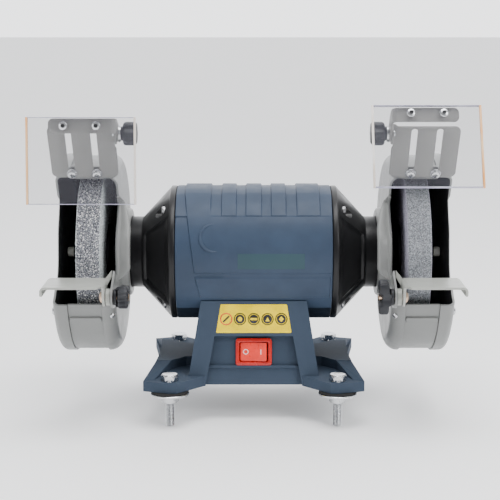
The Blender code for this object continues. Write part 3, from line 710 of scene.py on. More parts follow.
def motor_housing():
    """The barrel: raised panels and bands, grooves between them, a moulded crescent and a blank plate."""
    lines = {value / 2 for value in range(-72, 292, 5)} | {float(value) for value in range(146, 323, 3)}
    lines |= {TOP_RIDGE, 180 - TOP_RIDGE, 360 + UNDER_RIDGE, 180 - UNDER_RIDGE}
    for edge in (PANEL_TOP, PANEL_FOOT, LOWER_FROM, LOWER_TO, HOOK_AT + 0.5):
        for offset in (-0.8, -0.5, 0.0, 0.5, 0.8):
            line = edge + offset * (1.6 if edge == LOWER_TO else 1.0) * EDGE
            lines |= {line, 180 - line}
    kept = []
    for value in sorted(lines):
        if not kept or value - kept[-1] > 0.12:
            kept.append(value)
    half = EDGE * 0.5

    def column(kind, share, degrees):
        slant = along_points(PANEL_SLANT, height_round(degrees))
        first_band = BANDS[0][1] - BAND_SLOPE - half
        spans = {"left": (-BARREL_END, slant - half), "panel": (slant + half, first_band)}
        return lerp(*spans[kind], share)

    columns = [lambda d, s=i / 8: column("left", s, d) for i in range(9)]
    columns += [lambda d, s=i / 12: column("panel", s, d) for i in range(13)]
    marks = [BANDS[0][1] - BAND_SLOPE + half, PANEL_END - half, PANEL_END + half, BARREL_END]
    for low, high in BANDS[1:]:
        for across in (low + BAND_SLOPE, high - BAND_SLOPE):
            marks += [across - half, across + half]
    marks = sorted(marks + [GROOVE_FADE - 2 + i for i in range(5)])
    filled = []
    for a, b in zip(marks, marks[1:]):
        pieces = max(1, round((b - a) / 2.5))
        filled += [lerp(a, b, k / pieces) for k in range(pieces)]
    columns += [lambda d, x=x: x for x in filled + [marks[-1]]]

    rings = []
    for number, place in enumerate(columns):
        points = []
        for degrees in kept:
            x = place(degrees)
            r = barrel_section(degrees) + barrel_relief(x, degrees)
            if number in (0, len(columns) - 1):
                r -= 0.5
            points.append((x, *polar(r, degrees)))
        rings.append(points)
        if number == 0:
            rings.append([(x + 0.5, f * 1.008, z * 1.008) for x, f, z in points])
        if number == len(columns) - 2:
            rings.append([(BARREL_END - 0.5, f, z) for x, f, z in points])
    rings.append([(BARREL_END, *polar(BARREL_BORE, degrees)) for degrees in kept])
    rings.append([(-BARREL_END, *polar(BARREL_BORE, degrees)) for degrees in kept])
    housing = skin("motor_housing", rings, "blue", closed=True, crease=24)
    # faces below UNDER_RIDGE take the darker copy of the blue: painted shade on the barrel's underside
    housing.data.materials.append(PAINTS["under"])
    for face in housing.data.polygons:
        _, f, z = from_spindle(face.center)
        if math.hypot(f, z) > BARREL_BORE + 1 and math.degrees(math.atan2(z, abs(f))) < UNDER_RIDGE:
            face.material_index = 1
    join(housing, crescent(), name_plate())
    stand_for(housing, "motor_housing")


def barrel_section(degrees):
    """The barrel's radius without its relief: a soft ridge runs along its top's edge and under its side."""
    about = height_round(degrees)
    if about > TOP_RIDGE:
        share = (about - TOP_RIDGE) / (90 - TOP_RIDGE)
        return BARREL_R + 0.8 - 1.0 * share * (2 - share)
    above = max(0.0, 1 - (TOP_RIDGE - about) / 22)
    off = about - UNDER_RIDGE
    under = max(0.0, 1 - (off / 20 if off > 0 else -off / 14))
    return BARREL_R + 0.8 * above + 0.9 * under


def crescent():
    """The moulded crescent at the panel's left, open to the right and thickest at its back."""
    start, end, steps = 88.0, 285.0, 36
    rings = []
    for i in range(steps + 1):
        share = i / steps
        turn = math.radians(lerp(start, end, share))
        thick = 2.0 * math.sin(math.pi * (0.06 + 0.86 * share)) ** 0.6
        section = []
        for k in range(10):
            around = math.tau * k / 10
            x = CRESCENT_X + CRESCENT_R * math.cos(turn) + thick * 0.9 * math.cos(around) * math.cos(turn)
            arc_mm = CRESCENT_R * math.sin(turn) + thick * 0.9 * math.cos(around) * math.sin(turn)
            degrees = CRESCENT_AT + math.degrees(arc_mm / BARREL_R)
            section.append((x, *polar(BARREL_R + 0.1 + thick * 0.9 * math.sin(around), degrees)))
        rings.append(section)
    return skin("crescent", rings, "blue", crease=60)


def name_plate():
    """The thin blank plate on the barrel's panel."""
    low, high = PLATE_FROM_TO
    ends = [(low, 0.0), (low, 0.75), (low + 0.3, 0.95), (high - 0.3, 0.95), (high, 0.75), (high, 0.0)]
    rings = []
    for x, stand in ends:
        outline = [(x, *polar(BARREL_R - 0.2 + stand, lerp(*PLATE_DEGREES, i / 8))) for i in range(9)]
        outline += [(x, *polar(BARREL_R - 1.2, lerp(*PLATE_DEGREES, 1 - i / 8))) for i in range(9)]
        rings.append(outline)
    return skin("name_plate", rings, "teal", crease=40)


def end_bell(word, side):
    """The cast bell: rim, cone with sunk panels before and behind, screw pockets and a turned neck."""
    steps, cone_from, cone_to = 18, (73.6, 57.3), (96.0, 33.2)
    cone = [tuple(lerp(a, b, i / steps) for a, b in zip(cone_from, cone_to)) for i in range(1, steps + 1)]
    profile = [(67.5, 58.0), (67.9, 58.7), (68.5, 59.0), (72.0, 59.0), (72.6, 58.7), (73.0, 58.0), cone_from]
    profile += cone + [(96.7, 32.4), (97.4, 31.8), (98.4, 31.5), (114.8, 31.5), (115.4, 31.3), (115.6, 30.8)]
    profile += [(115.6, 12), (101.3, 12), (101.3, 17.8), (89.7, 17.8), (89.7, 22.5), (74, 50), (67.5, 53)]
    limit = 42.0  # degrees up from the level to the sunk panels' edges
    lines = []
    value = -90.0
    while value < 269.9:
        lines.append(value)
        off = abs((value + 180) % 360 - 180)
        value += 0.75 if min(abs(off - limit), abs(off - 180 + limit)) < 2.3 else 3.0
    rings = []
    for x, r in profile:
        share = min(1.0, max(0.0, (x - 73) / 23))
        edge = lerp(limit, 37.0, share)
        points = []
        for line in lines:
            about = (line + 180) % 360 - 180
            front = abs(about) <= 90
            off = abs(about) if front else 180 - abs(about)
            off = off * edge / limit if off < limit else 90 - (90 - off) * (90 - edge) / (90 - limit)
            degrees = math.copysign(off if front else 180 - off, about)
            sunk = (1 - ramp(off, edge, 1.6)) * ramp(x, 75.2, 1.8) * (1 - ramp(x, 94.6, 2.2))
            depth = BELL_SUNK * sunk if (x, r) in cone else 0.0
            points.append((side * x, *polar(r - depth, degrees)))
        rings.append(points)
    bell = skin(f"end_bell_{word}", rings, "black", closed=True, crease=26)
    pockets, screws = [], []
    for number, degrees in enumerate((54, 126, 234, 306), 1):
        centre = (0, *polar(50.5, degrees))
        ends = [(side * 77, 5.6), (side * 98, 6.4)]
        pockets.append(turned(f"pocket_{number}", ends, closed=False, sides=32, centre=centre))
        spot = (side * 77.1, *centre[1:])
        screws.append(pan_screw(f"bell_screw_{number}", spot, (side, 0, 0), 4.2, 2.8, "steel"))
    cut(bell, *pockets)
    join(bell, *screws)
    soften(bell, 0.3)
    stand_for(bell, f"end_bell_{word}")


# ---- the pedestal's front: switch and label ----
def on_face(x, down, out):
    """A point on the pedestal's sloping front: across, down the slope and out of it."""
    run, drop = FACE_FOOT_F - FACE_TOP_F, FACE_TOP_Z - FOOT_TOP
    length = math.hypot(run, drop)
    return x, FACE_TOP_F + (down * run + out * drop) / length, FACE_TOP_Z + (out * run - down * drop) / length


def label():
    """A yellow panel with five plain round marks, the first with a red ring."""
    corners = [(-28.5, 2.8), (28.5, 2.8), (32.5, 27.4), (-32.5, 27.4)]
    outline = rounded([(x, -down) for x, down in reversed(corners)], 1.0, 3)

    def flush(lift):
        return lambda u, v, w: on_face(u, -v, lift + w)

    panel = sheet("label_panel", [outline], 0.3, flush(0.16), "label", edge=0.06)
    discs = [panel]
    for number, x in enumerate((-23.8, -11.9, 0.0, 11.8, 23.7)):
        middle = (x, -15.5)
        rim, fill, size = ("disc", "disc", 3.9) if number else ("ring", "label", 4.3)
        outlines = [arc(middle, 5.3, 0, 354, 59), arc(middle, 4.4, 0, 352.5, 47)[::-1]]
        discs.append(sheet(f"disc_{number}", outlines, 0.12, flush(0.37), rim, edge=0.02))
        inside = [arc(middle, size, 0, 352.5, 47)]
        discs.append(sheet(f"centre_{number}", inside, 0.10, flush(0.36), fill, edge=0.02))
    marks = (
        slot_outline((-26.0, -17.6), (-21.6, -13.4), 0.75)[::-1],
        arc((-11.9, -15.5), 2.0, 0, 345, 23),
        slot_outline((-2.2, -15.5), (2.2, -15.5), 0.95)[::-1],
        rounded([(9.9, -17.4), (13.7, -17.4), (11.8, -13.7)], 0.3, 3),
        rounded([(23.7, -18.0), (25.9, -15.5), (23.7, -13.0), (21.5, -15.5)], 0.3, 3),
    )
    for number, mark in enumerate(marks):
        ink = "label" if number else "disc"
        discs.append(sheet(f"mark_{number}", [mark], 0.10, flush(0.44), ink, edge=0.02))
    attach(join(*discs), "root").name = "label"


def ledge():
    """The round-ended lip cast across the panel under the switch."""
    half, high, out = 42.0, 1.7, 3.4
    rings = []
    for i in range(25):
        share = 2 * i / 24 - 1
        size = math.sqrt(max(0.03, 1 - max(0.0, abs(share) - 0.95) ** 2 / 0.05**2))
        section = []
        for k in range(12):
            angle = math.tau * k / 12
            down = LEDGE_DOWN + high * size * math.sin(angle)
            section.append(on_face(half * share, down, -RECESS_DEEP + 0.6 + out * size * math.cos(angle)))
        rings.append(section)
    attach(skin("panel_ledge", rings, "base", crease=60), "root")


def switch():
    """A rounded bezel and a two-way rocker marked with a ring and a bar."""
    half_x, half_y = SWITCH_WIDE / 2, SWITCH_HIGH / 2
    back = -RECESS_DEEP + 0.3
    thick = 2.6

    def behind(depth):
        return lambda u, v, w: on_face(u, SWITCH_DOWN - v, depth + w)

    window_x, window_y = ROCKER_WIDE / 2 + 0.8, ROCKER_HIGH / 2 + 0.5
    outer = rounded(box_outline(-half_x, half_x, -half_y, half_y), 2.6)
    window = rounded(box_outline(-window_x, window_x, -window_y, window_y), 1.2)[::-1]
    bezel = sheet("switch_frame", [outer, window], thick, behind(back + thick / 2), "switch", edge=0.8)
    inner = rounded(box_outline(-window_x - 1, window_x + 1, -window_y - 1, window_y + 1), 1.5)
    wall = sheet("tub", [inner, window], 6.0, behind(back - 3), "switch", edge=0.1)
    floor = sheet("tub_floor", [inner], 9.0, behind(back - 10.6), "knob", edge=0.1)
    stand_for(join(bezel, wall, floor), "switch_frame")

    half = ROCKER_WIDE / 2
    tilt = math.radians(ROCKER_TILT)

    def turned_place(x, v, out):
        across = x * math.cos(tilt) - out * math.sin(tilt)
        return on_face(across, SWITCH_DOWN - v, ROCKER_PIVOT + x * math.sin(tilt) + out * math.cos(tilt))

    top = [(-half, 3.3), (-half * 0.5, 2.3), (0, 1.75), (half * 0.5, 2.3), (half, 3.3)]
    section = rounded(top + [(half, -1), (4, -4), (-4, -4), (-half, -1)], [0.8, 0, 0, 0, 0.8, 1, 1, 1, 1], 4)
    rings = []
    for share, v in ((0.96, -1.0), (0.99, -0.96), (1.0, -0.9), (1.0, 0.9), (0.99, 0.96), (0.96, 1.0)):
        points = [(x * share, out * share if out > 0 else out) for x, out in section]
        rings.append([turned_place(x, v * ROCKER_HIGH / 2, out) for x, out in points])
    rocker = skin("rocker", rings, "rocker", crease=40)

    def mark_place(u, v, w):
        return turned_place(u, v, along_points(top, u) + 0.05 + w)

    circle_mark = [arc((-6.6, 0), 2.3, 0, 352.5, 47), arc((-6.6, 0), 1.7, 0, 352.5, 47)[::-1]]
    ring_mark = sheet("ring_mark", circle_mark, 0.14, mark_place, "mark", edge=0.03)
    bar_mark = sheet("bar_mark", [box_outline(6.3, 7.0, -2.2, 2.2)], 0.14, mark_place, "mark", edge=0.03)
    stand_for(join(rocker, ring_mark, bar_mark), "rocker")


# ---- feet ----
def chamfered(limit):
    """A hexagon with its corners turned off at a share of the corner radius."""
    return lambda angle: min(hexagon(angle), limit)


def threaded(centre, start, end, radius, pitch, sides=24):
    """Rings of a screw thread between two heights, fading in a chamfer at its far end."""
    x, f, _ = centre
    depth = 0.55 * pitch
    steps = max(4, round(abs(end - start) / pitch * 6))
    rings = []
    for i in range(steps + 1):
        along = start + (end - start) * i / steps
        cap = radius - max(0.0, 0.9 - abs(end - along))
        points = []
        for k in range(sides):
            angle = math.tau * k / sides
            phase = (along / pitch - k / sides) % 1.0
            r = min(cap, radius - depth * abs(2 * phase - 1))
            points.append((x + r * math.cos(angle), f + r * math.sin(angle), along))
        rings.append(points)
    return rings


def foot(word):
    """Bolt, washers, pad and nut of one foot."""
    bolt, pad, nut = (reach(f"foot_{kind}_{word}") for kind in ("bolt", "pad", "nut"))
    centre = (sum(bolt["x"]) / 2, sum(bolt["f"]) / 2, 0)
    tip, top = bolt["z"]
    head, hex_r = top - 5.3, 7.5

    def upright(name, profile, finish="zinc", sides=72, **ways):
        return turned(name, profile, finish, sides=sides, axis="z", centre=centre, **ways)

    shape = [(head, hex_r * 0.9), (head + 0.15, hex_r, chamfered(0.97)), (top - 1.3, hex_r, hexagon)]
    shape += [(top - 0.7, hex_r, chamfered(0.94)), (top - 0.25, hex_r, chamfered(0.88)), (top, hex_r * 0.84)]
    shape += [(top - 0.35, hex_r * 0.55), (top - 0.4, hex_r * 0.2)]
    bolt_head = upright("head", shape, closed=False, crease=30)
    shank_low = nut["z"][1] + 3
    shank = upright("shank", [(head + 1, 3.95), (shank_low, 3.95)], sides=48, closed=False)
    thread = skin("thread", threaded(centre, shank_low + 1, tip, 4.0, 1.25), "zinc", crease=50)
    stand_for(join(bolt_head, shank, thread), f"foot_bolt_{word}")

    pad_low, pad_high = pad["z"]
    pad_r = (pad["x"][1] - pad["x"][0]) / 2
    disc = [(pad_low, 4.4), (pad_low, pad_r - 0.8), (pad_low + 0.8, pad_r), (pad_high - 0.8, pad_r)]
    disc += [(pad_high, pad_r - 0.8), (pad_high, 4.4)]
    stand_for(upright("pad", disc, "rubber"), f"foot_pad_{word}")
    low, high = nut["z"]
    hexed = [(low, 4.1), (low, 6.2), (low + 0.3, hex_r, chamfered(0.88)), (low + 1.1, hex_r, hexagon)]
    hexed += [(high - 1.1, hex_r, hexagon), (high - 0.3, hex_r, chamfered(0.88)), (high, 6.2), (high, 4.1)]
    stand_for(upright("nut", hexed, crease=30), f"foot_nut_{word}")
    wide = pad_r + 0.6
    washer = [(pad_low - 2.1, 4.4), (pad_low - 2.1, wide - 0.4), (pad_low - 1.7, wide), (pad_low - 0.5, wide)]
    washer += [(pad_low - 0.15, wide - 0.4), (pad_low - 0.15, 4.4)]
    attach(upright(f"foot_washer_{word}", washer), "root")


# ---- the CAD's own pieces that keep their shape ----
def kept_nodes():
    """Leaves CAD nodes in view, with their finishes and softened edges."""
    finishes = [
        ("base", "base", 1.2),
        ("base_cover", "black", 0.3),
        ("cable_gland", "knob", 0.3),
        ("capacitor", "knob", 0.4),
        ("rotor_core", "steel", 0.0),
        ("stator_core", "steel", 0.0),
        ("shaft", "steel", 0.0),
        ("fan", "knob", 0.3),
    ]
    for word in SIDES:
        finishes.append((f"stator_winding_{word}", "copper", 0.0))
        finishes += [(f"bearing_{part}_{word}", "steel", 0.2) for part in ("outer", "inner")]
    for node, finish, width in finishes:
        obj = NODES[node]
        obj.data.materials.clear()
        obj.data.materials.append(PAINTS[finish])
        if width:
            soften(obj, width)


# ---- wheels and spindle ----
def wheel(word, finish, roughness, columns, turns):
    """A bonded wheel: every point of its surface is thrown in or out by a grain."""
    node = f"wheel_{word}"
    size = reach(node)
    low, high = size["x"]
    radius = size["z"][1]
    bore, edge = 6.5, 1.2
    dice = random.Random(word)
    rim = [low + edge + (high - low - 2 * edge) * i / columns for i in range(columns + 1)]
    step = (high - low) / columns
    faces = [bore + 1.0, 24.0]
    while faces[-1] + step < radius - edge:
        faces.append(faces[-1] + step * (2.5 if faces[-1] < 55 else 1.0))
    profile = [(low, bore)] + [(low, r) for r in faces] + [(low + edge * 0.3, radius - edge * 0.3)]
    profile += [(x, radius) for x in rim]
    profile += [(high - edge * 0.3, radius - edge * 0.3)]
    profile += [(high, r) for r in reversed(faces)] + [(high, bore)]
    rings = []
    for x, r in profile:
        points = []
        for i in range(turns):
            angle = math.tau * i / turns
            grain = roughness * dice.uniform(-1.0, 0.35)
            wear = 0.25 * roughness * noise.noise((x * 0.2, math.cos(angle) * 9, math.sin(angle) * 9))
            lift = grain + wear if r > 25 else 0.0
            on_rim = r > radius - edge
            px = x if on_rim else x - math.copysign(lift, low + high - 2 * x)
            pr = r + lift if on_rim else r
            points.append((px, pr * math.cos(angle), pr * math.sin(angle)))
        rings.append(points)
    stone = skin(node, rings, finish, closed=True, crease=28)
    # side faces take the lighter copy of the grit: painted light inside the guard
    stone.data.materials.append(PAINTS[f"{finish}_side"])
    for face in stone.data.polygons:
        if abs(face.normal.x) > 0.8:
            face.material_index = 1
    stand_for(stone, node)


def spindle_pieces(word, side):
    """Flanges and nut on the spindle's end, with a plain turned end to the shaft."""
    tip = reach("shaft")["x"][1]
    bore = 6.4

    def fit(kind, profile):
        """Turns a profile of (share of the way out from the motor, radius) to a node's length."""
        node = f"{kind}_{word}"
        near, far = sorted(abs(value) for value in reach(node)["x"])
        placed = [(lerp(near, far, share), *rest) for share, *rest in profile]
        stand_for(turned(node, sided(side, placed), "oxide"), node)
        return far

    cup = [(0, bore), (0, 10.6), (0.03, 11), (0.74, 11), (0.8, 12), (0.83, 24.6), (0.87, 25), (0.98, 25)]
    fit("inner_flange", cup + [(1, 24.6), (1, bore)])
    dish = [(0, bore), (0, 24.7), (0.1, 25), (0.5, 25), (0.75, 24), (0.85, 18), (1, 14), (1, bore)]
    fit("outer_flange", dish)
    hexed = [(0, bore), (0, 9.2), (0.12, 10.4, hexagon), (0.86, 10.4, hexagon), (1, 8.9), (1, bore)]
    start = fit("spindle_nut", hexed) + 0.5
    end = [(start, 3.6), (start, 4.2), (tip - 0.5, 4.2), (tip + 0.1, 3.6), (tip + 0.1, 1.6), (tip - 0.6, 0.4)]
    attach(turned(f"shaft_tip_{word}", sided(side, end), "tip", closed=False, sides=48), "rotor")


# ---- guards ----
def shade_guard_inside(obj, side, inner):
    """Gives the faces of a guard that look in at its wheel a near-black paint: painted shade inside the
    guard.
    """
    obj.data.materials.append(PAINTS["inside_shade"])
    for face in obj.data.polygons:
        x, f, z = from_spindle(face.center)
        normal = Vector((face.normal.x, -face.normal.y, face.normal.z))
        inwards = normal.dot(Vector((0, f, z)).normalized()) < -0.35
        sideways = normal.x * (side * WELL_X - x) > 0 and abs(normal.x) > 0.5
        within = side * x > CHEEK_X + WELL_SKIN if inner else side * x < COVER_X - WELL_SKIN
        if (inwards or sideways) and math.hypot(f, z) < WELL_R and within:
            face.material_index = 1


MOUTH = [(45, 30), (54.2, 19.5), (57.3, 6), (57.0, -5)]  # middle of the opening's edge
OPENING = smooth_path([on_plate(53, 0.3), *MOUTH, (60, -14), (66, -21)])
FLANGE_EDGE = smooth_path([on_plate(66, 0.3), on_plate(57, 0.3), *MOUTH, (59.6, -15)])
FLANGE_DEEP = CHEEK_X - FLANGE_X
ROLL_R = 2.6  # outer radius of the roll along the flange's free edge
ROLL = (ROLL_R - FLANGE_DEEP, ROLL_R)  # middle of the free edge's roll
FLANGE_SECTION = [(1.4, -0.5), (0.4, -1.0), (-0.7, -0.9), (-1.5, -0.2), (-1.9, 0.45), (-2.4, 0.5)]
FLANGE_SECTION += [(-3.2, 0.15), (3.4 - FLANGE_DEEP, 0.0), *arc(ROLL, ROLL_R, 270, 180, 6)]
FLANGE_SECTION += [(-FLANGE_DEEP, 4.0), (1.0 - FLANGE_DEEP, 4.4), (SHEET - FLANGE_DEEP, 4.0)]
FLANGE_SECTION += arc(ROLL, ROLL_R - SHEET, 180, 270, 3)


def away_from(path, index):
    """The way out of an opening's edge, into the sheet, at a point of its path."""
    before, after = path[max(index - 1, 0)], path[min(index + 1, len(path) - 1)]
    way = (Vector(after) - Vector(before)).normalized()
    behind = Vector((way.y, -way.x))
    return -behind if behind.dot(Vector(path[index])) > 0 else behind


def flange(side):
    """The folded strip along the opening: a hem at the cheek, a flat face and a free edge rolled back."""
    rings = []
    last = len(FLANGE_EDGE) - 1
    for i, point in enumerate(FLANGE_EDGE):
        behind = away_from(FLANGE_EDGE, i)
        share = min(1.0, i / 13, (last - i) / 6)
        grown = lerp(0.04, 1.0, share * share * (3 - 2 * share))
        section = [(1.8, 3.0), (1.8, 0.6)]
        section += [(out * grown, lift * grown) for out, lift in FLANGE_SECTION]
        section += [(-2.0 * grown, SHEET), (0.2, 3.0)]
        section = [(CHEEK_X + out, lift) for out, lift in section]
        rings.append([(side * x, point[0] + behind.x * n, point[1] + behind.y * n) for x, n in section])
    return skin("flange", rings, "guard")


def rest_lug(side):
    """The part of the cheek that runs forwards to hold the rest, with a peak behind the rest's plate."""
    bolt = (REST_BOLT_F, REST_BOLT_Z)
    tab = [(54, -9), (68, -12), (78.0, -4.6), (80.5, -2.2), (82.5, -5.0), *arc(bolt, 9.0, 75, -75, 16)]
    tab += [(82, -33.2), (62, -24)]
    lug = prism("lug", tab, side * (CHEEK_X + 0.05), side * (CHEEK_X + SHEET - 0.05), "guard")
    hole = sided(side, [(CHEEK_X - 3, 3.2), (CHEEK_X + 5, 3.2)])
    cut(lug, turned("hole", hole, closed=False, sides=24, centre=(0, *bolt)))
    return lug


def guard_inner(word, side):
    """The motor side of a guard: collar, cheek, rolled corner and band, with a flange along its opening."""
    centre = (CHEEK_X + CORNER_R, SHELL_R - CORNER_R)
    band_r = SHELL_R - BAND_DROP
    lip_r, neck_r, round_r = COLLAR_R - 2.5, 31.9, 2.5
    profile = [(CHEEK_X, BORE_R), (CHEEK_X, neck_r), (COLLAR_X + 0.5, neck_r), (COLLAR_X, neck_r + 0.5)]
    profile += [(COLLAR_X, lip_r), *arc((COLLAR_X + round_r, lip_r), round_r, 180, 90, 4)[1:]]
    profile += [(CHEEK_X - 1.5, COLLAR_R), (CHEEK_X, COLLAR_R + 1.5)]
    profile += arc(centre, CORNER_R, 180, 90, 12)
    profile += [(STEP_X - 0.5, SHELL_R), (STEP_X - 0.1, SHELL_R - 0.25), (STEP_X, SHELL_R - 0.7)]
    profile += [(STEP_X + 0.1, band_r), (SPLIT_X - 0.3, band_r)]
    profile += [(SPLIT_X - 0.3, band_r - SHEET), (STEP_X, band_r - SHEET)]
    profile += arc(centre, CORNER_R - SHEET, 90, 180, 12)
    profile += [(CHEEK_X + SHEET, BORE_R)]
    guard = turned(f"guard_inner_{word}", sided(side, profile), "guard", sides=144)

    outline = [on_plate(120, 0.3), *OPENING, polar(82, LIP_ANGLE), polar(120, LIP_ANGLE)]
    cut(guard, prism("opening", outline, side * 100, side * 160))
    shade_guard_inside(guard, side, True)

    def lip_place(u, v, w):
        return (side * u, *on_plate(v, 1.3 - w))

    lip = sheet("lip", [rounded(box_outline(118.5, 156, 84.5, 97.5), 2)], 2.0, lip_place, "guard")
    lean = math.asin((CHEEK_X + CORNER_R - SCREW_X) / CORNER_R)
    f, z = polar(1.0, SCREW_ANGLE)
    out = SHELL_R - CORNER_R + CORNER_R * math.cos(lean)
    outwards = (-side * math.sin(lean), f * math.cos(lean), z * math.cos(lean))
    screw = pan_screw("screw", (side * SCREW_X, f * out, z * out), outwards, 2.5, 1.9)
    join(guard, flange(side), rest_lug(side), lip, bead_bar(side, band_r), screw)
    soften(guard, 0.25)
    stand_for(guard, f"guard_inner_{word}")


def bead_bar(side, band_r):
    """The pressed bead across the band below the opening."""
    half_angle, rise, low, high, count = 2.1, 2.0, 128.0, 156.1, 28
    rings = []
    for i in range(count + 1):
        share = i / count
        x = low + (high - low) * share
        taper = math.sqrt(max(0.02, 1 - max(0.0, abs(2 * share - 1) - 0.92) ** 2 / 0.08**2))
        section = []
        for k in range(9):
            a = k / 8
            angle = BEAD_ANGLE + half_angle * taper * (2 * a - 1)
            out = rise * taper * min(1.0, 3.0 * math.sin(math.pi * a))
            section.append((side * x, *polar(band_r - 0.2 + out, angle)))
        section.append((side * x, *polar(band_r - 1.0, BEAD_ANGLE)))
        rings.append(section)
    return skin("bead", rings, "guard", crease=40)


def guard_outer(word, side):
    """The outer cover of a guard: a dished disc and a band, cut back at the front, with its screws."""
    centre = (COVER_X - COVER_CORNER, SHELL_R - COVER_CORNER)
    profile = [(COVER_X - SHEET, 0.6), *arc(centre, COVER_CORNER - SHEET, 0, 90, 8)]
    profile += [(SPLIT_X, SHELL_R - SHEET), (SPLIT_X, SHELL_R)]
    profile += arc(centre, COVER_CORNER, 90, 0, 8)
    profile += [(COVER_X, 66), (COVER_X - 0.2, 64.5), (COVER_X - 1.0, 62), (COVER_X - 1.2, 60)]
    profile.append((COVER_X - 1.2, 0.6))
    cover = turned(f"guard_outer_{word}", sided(side, profile), "guard", closed=False, sides=144)
    edge = [on_plate(60, 0.3), (37, 39), (44.5, 26), (47.5, 10), (51, -5), (60, -17), (70, -25.5)]
    outline = [on_plate(120, 0.3), *smooth_path(edge, 8)]
    outline += [polar(SHELL_R - 0.5, LIP_ANGLE), polar(120, LIP_ANGLE)]
    cut(cover, prism("cheek", outline, side * 150, side * 175))
    shade_guard_inside(cover, side, False)
    screws = []
    for number, (inset, degrees) in enumerate(((8.5, SCREW_ANGLE), (13, 150), (13, 245)), 1):
        spot = (side * (COVER_X - 0.2), *polar(SHELL_R - inset, degrees))
        screws.append(pan_screw(f"screw_{number}", spot, (side, 0, 0), 3.6, 2.2))
    join(cover, *screws)
    soften(cover, 0.25)
    stand_for(cover, f"guard_outer_{word}")


# ---- tool rests ----
def tool_rest(word, side):
    """The rest: one bent sheet with a plate, an end lip turned down and a slotted leg."""
    thick, bend = 2.0, 3.0
    size = reach(f"tool_rest_{word}")
    near, far = sorted(abs(value) for value in size["x"])
    back, front = size["f"]
    middle = REST_TOP - thick / 2
    # u runs out from the leg, v forwards; the fold's lines lie where the flat plate ends
    fold_in = (near + bend + thick / 2, -1, bend)
    fold_out = (far - bend - thick / 2, 1, bend)
    arc_length = bend * math.pi / 2
    lip_long = 4.0
    u_in, u_out = fold_in[0] - arc_length, fold_out[0] + arc_length
    leg_low = u_in - (middle - bend - size["z"][0])
    flat = [(leg_low, back + 5), (u_in - 9, back), (u_in + 2, back), (fold_out[0], back)]
    flat += [(u_out + lip_long, back + 6), (u_out + lip_long, front), (fold_in[0] + 1, front)]
    flat += [(u_in + 1.0, front - 12), (u_in - 8.0, front - 13), (leg_low, back + 23)]
    outline = rounded(flat, [5, 3, 1, 2, 4, 2, 1.5, 4, 6, 6])
    slot_u = u_in - (middle - bend - REST_BOLT_Z)
    slot = slot_outline((slot_u, REST_BOLT_F - 8), (slot_u, REST_BOLT_F + 4), 3.2)

    def place(u, v, w):
        return side * u, v, middle + w

    rest = sheet(f"tool_rest_{word}", [outline, slot], thick, place, "rest", (fold_in, fold_out), 0.4)
    soften(rest, 0.25)
    join(rest, gusset(side, near, back, REST_TOP))
    stand_for(rest, f"tool_rest_{word}")


def gusset(side, near, back, top):
    """The flared corner of the rest, from its plate back to a peak beside the cheek."""
    thick = 1.3
    front = [(near + 1.6, back + 14, top - 1.6), (near + 1.9, back + 1.0, top - 0.6)]
    front += [(118.6, back - 1.5, top + 6.0), (118.4, back - 0.5, top + 0.5)]
    front.append((near + 0.4, back + 8, top - 6.2))
    rings = [[(side * x, f + off, z) for x, f, z in front] for off in (0.0, -thick)]
    return skin("gusset", rings, "rest")


def rest_fasteners(word, side):
    """Carriage bolt with a domed copper head, and a plain washer."""
    centre = (side * 124.5, REST_BOLT_F, REST_BOLT_Z)
    place = facing(centre, (side, 0, 0))
    head = [(0, 4.6), (0.3, 4.9), (1.2, 4.8), (2.1, 4.0), (2.8, 2.6), (3.2, 1.0)]
    shank = [(-22.0, 2.2), (-21.5, 2.9), (-0.2, 2.9)]
    stand_for(round_solid(f"rest_bolt_{word}", place, shank + head, "copper", 40, 50), f"rest_bolt_{word}")
    node = f"rest_washer_{word}"
    low, high = sorted(abs(value) for value in reach(node)["x"])
    profile = [(low, 3.3), (low, 6.6), (low + 0.3, 7), (high - 0.3, 7), (high, 6.6), (high, 3.3)]
    washer = turned(node, sided(side, profile), "rest", sides=48, centre=(0, REST_BOLT_F, REST_BOLT_Z))
    stand_for(washer, node)


def wing_knob(word, side):
    """A two-winged knob: a waisted bar with ridged ends round a hub."""
    node = f"rest_knob_{word}"
    turn = math.radians(KNOB_TURN[side])
    long_half, wide_half, block_half = 13.4, 8.2, 5.6
    near, far = 102.8, 111.5
    shift = 2.6  # the middle stands nearer the cheek than the wings
    sides = 120

    def outline(t):
        """A rounded bar, pinched at its middle and ridged on its two ends."""
        c, s = abs(math.cos(t)), abs(math.sin(t))
        bar = 1.0 / ((c / long_half) ** 5 + (s / wide_half) ** 5) ** 0.2
        pinch = 1.0 - 0.22 * math.exp(-((c / 0.42) ** 2))
        ridges = 1.0 + 0.035 * math.cos(26 * t) * (1.0 if c > 0.86 else 0.0)
        return bar * pinch * ridges

    profile = [(near + 0.1, 0.4), (near, 0.80), (near + 0.4, 0.93), (near + 1.2, 0.99), (near + 2.2, 1.0)]
    profile += [(far - 2.0, 1.0), (far - 1.2, 0.97), (far - 0.3, 0.88)]
    rings = []
    for x, share in profile:
        points = []
        for i in range(sides):
            t = math.tau * i / sides
            r = outline(t) * share
            angle = t + turn
            wing = ramp(abs(outline(t) * math.cos(t)), block_half, 1.4)
            place = side * (x + shift * (1 - wing))
            points.append((place, REST_BOLT_F + r * math.cos(angle), REST_BOLT_Z + r * math.sin(angle)))
        rings.append(points)
    knob = skin(node, rings, "knob", crease=38)
    centre = (0, REST_BOLT_F, REST_BOLT_Z)
    hub = [(far + shift - 1.0, 7.0), (far + shift, 7.0), (115.1, 6.9), (115.6, 6.4)]
    join(knob, turned("hub", sided(side, hub), "knob", closed=False, sides=48, centre=centre))
    stand_for(knob, node)


# ---- spark plates and eye shields ----
PIVOT = on_plate(PIVOT_ALONG, -PIVOT_OFF)


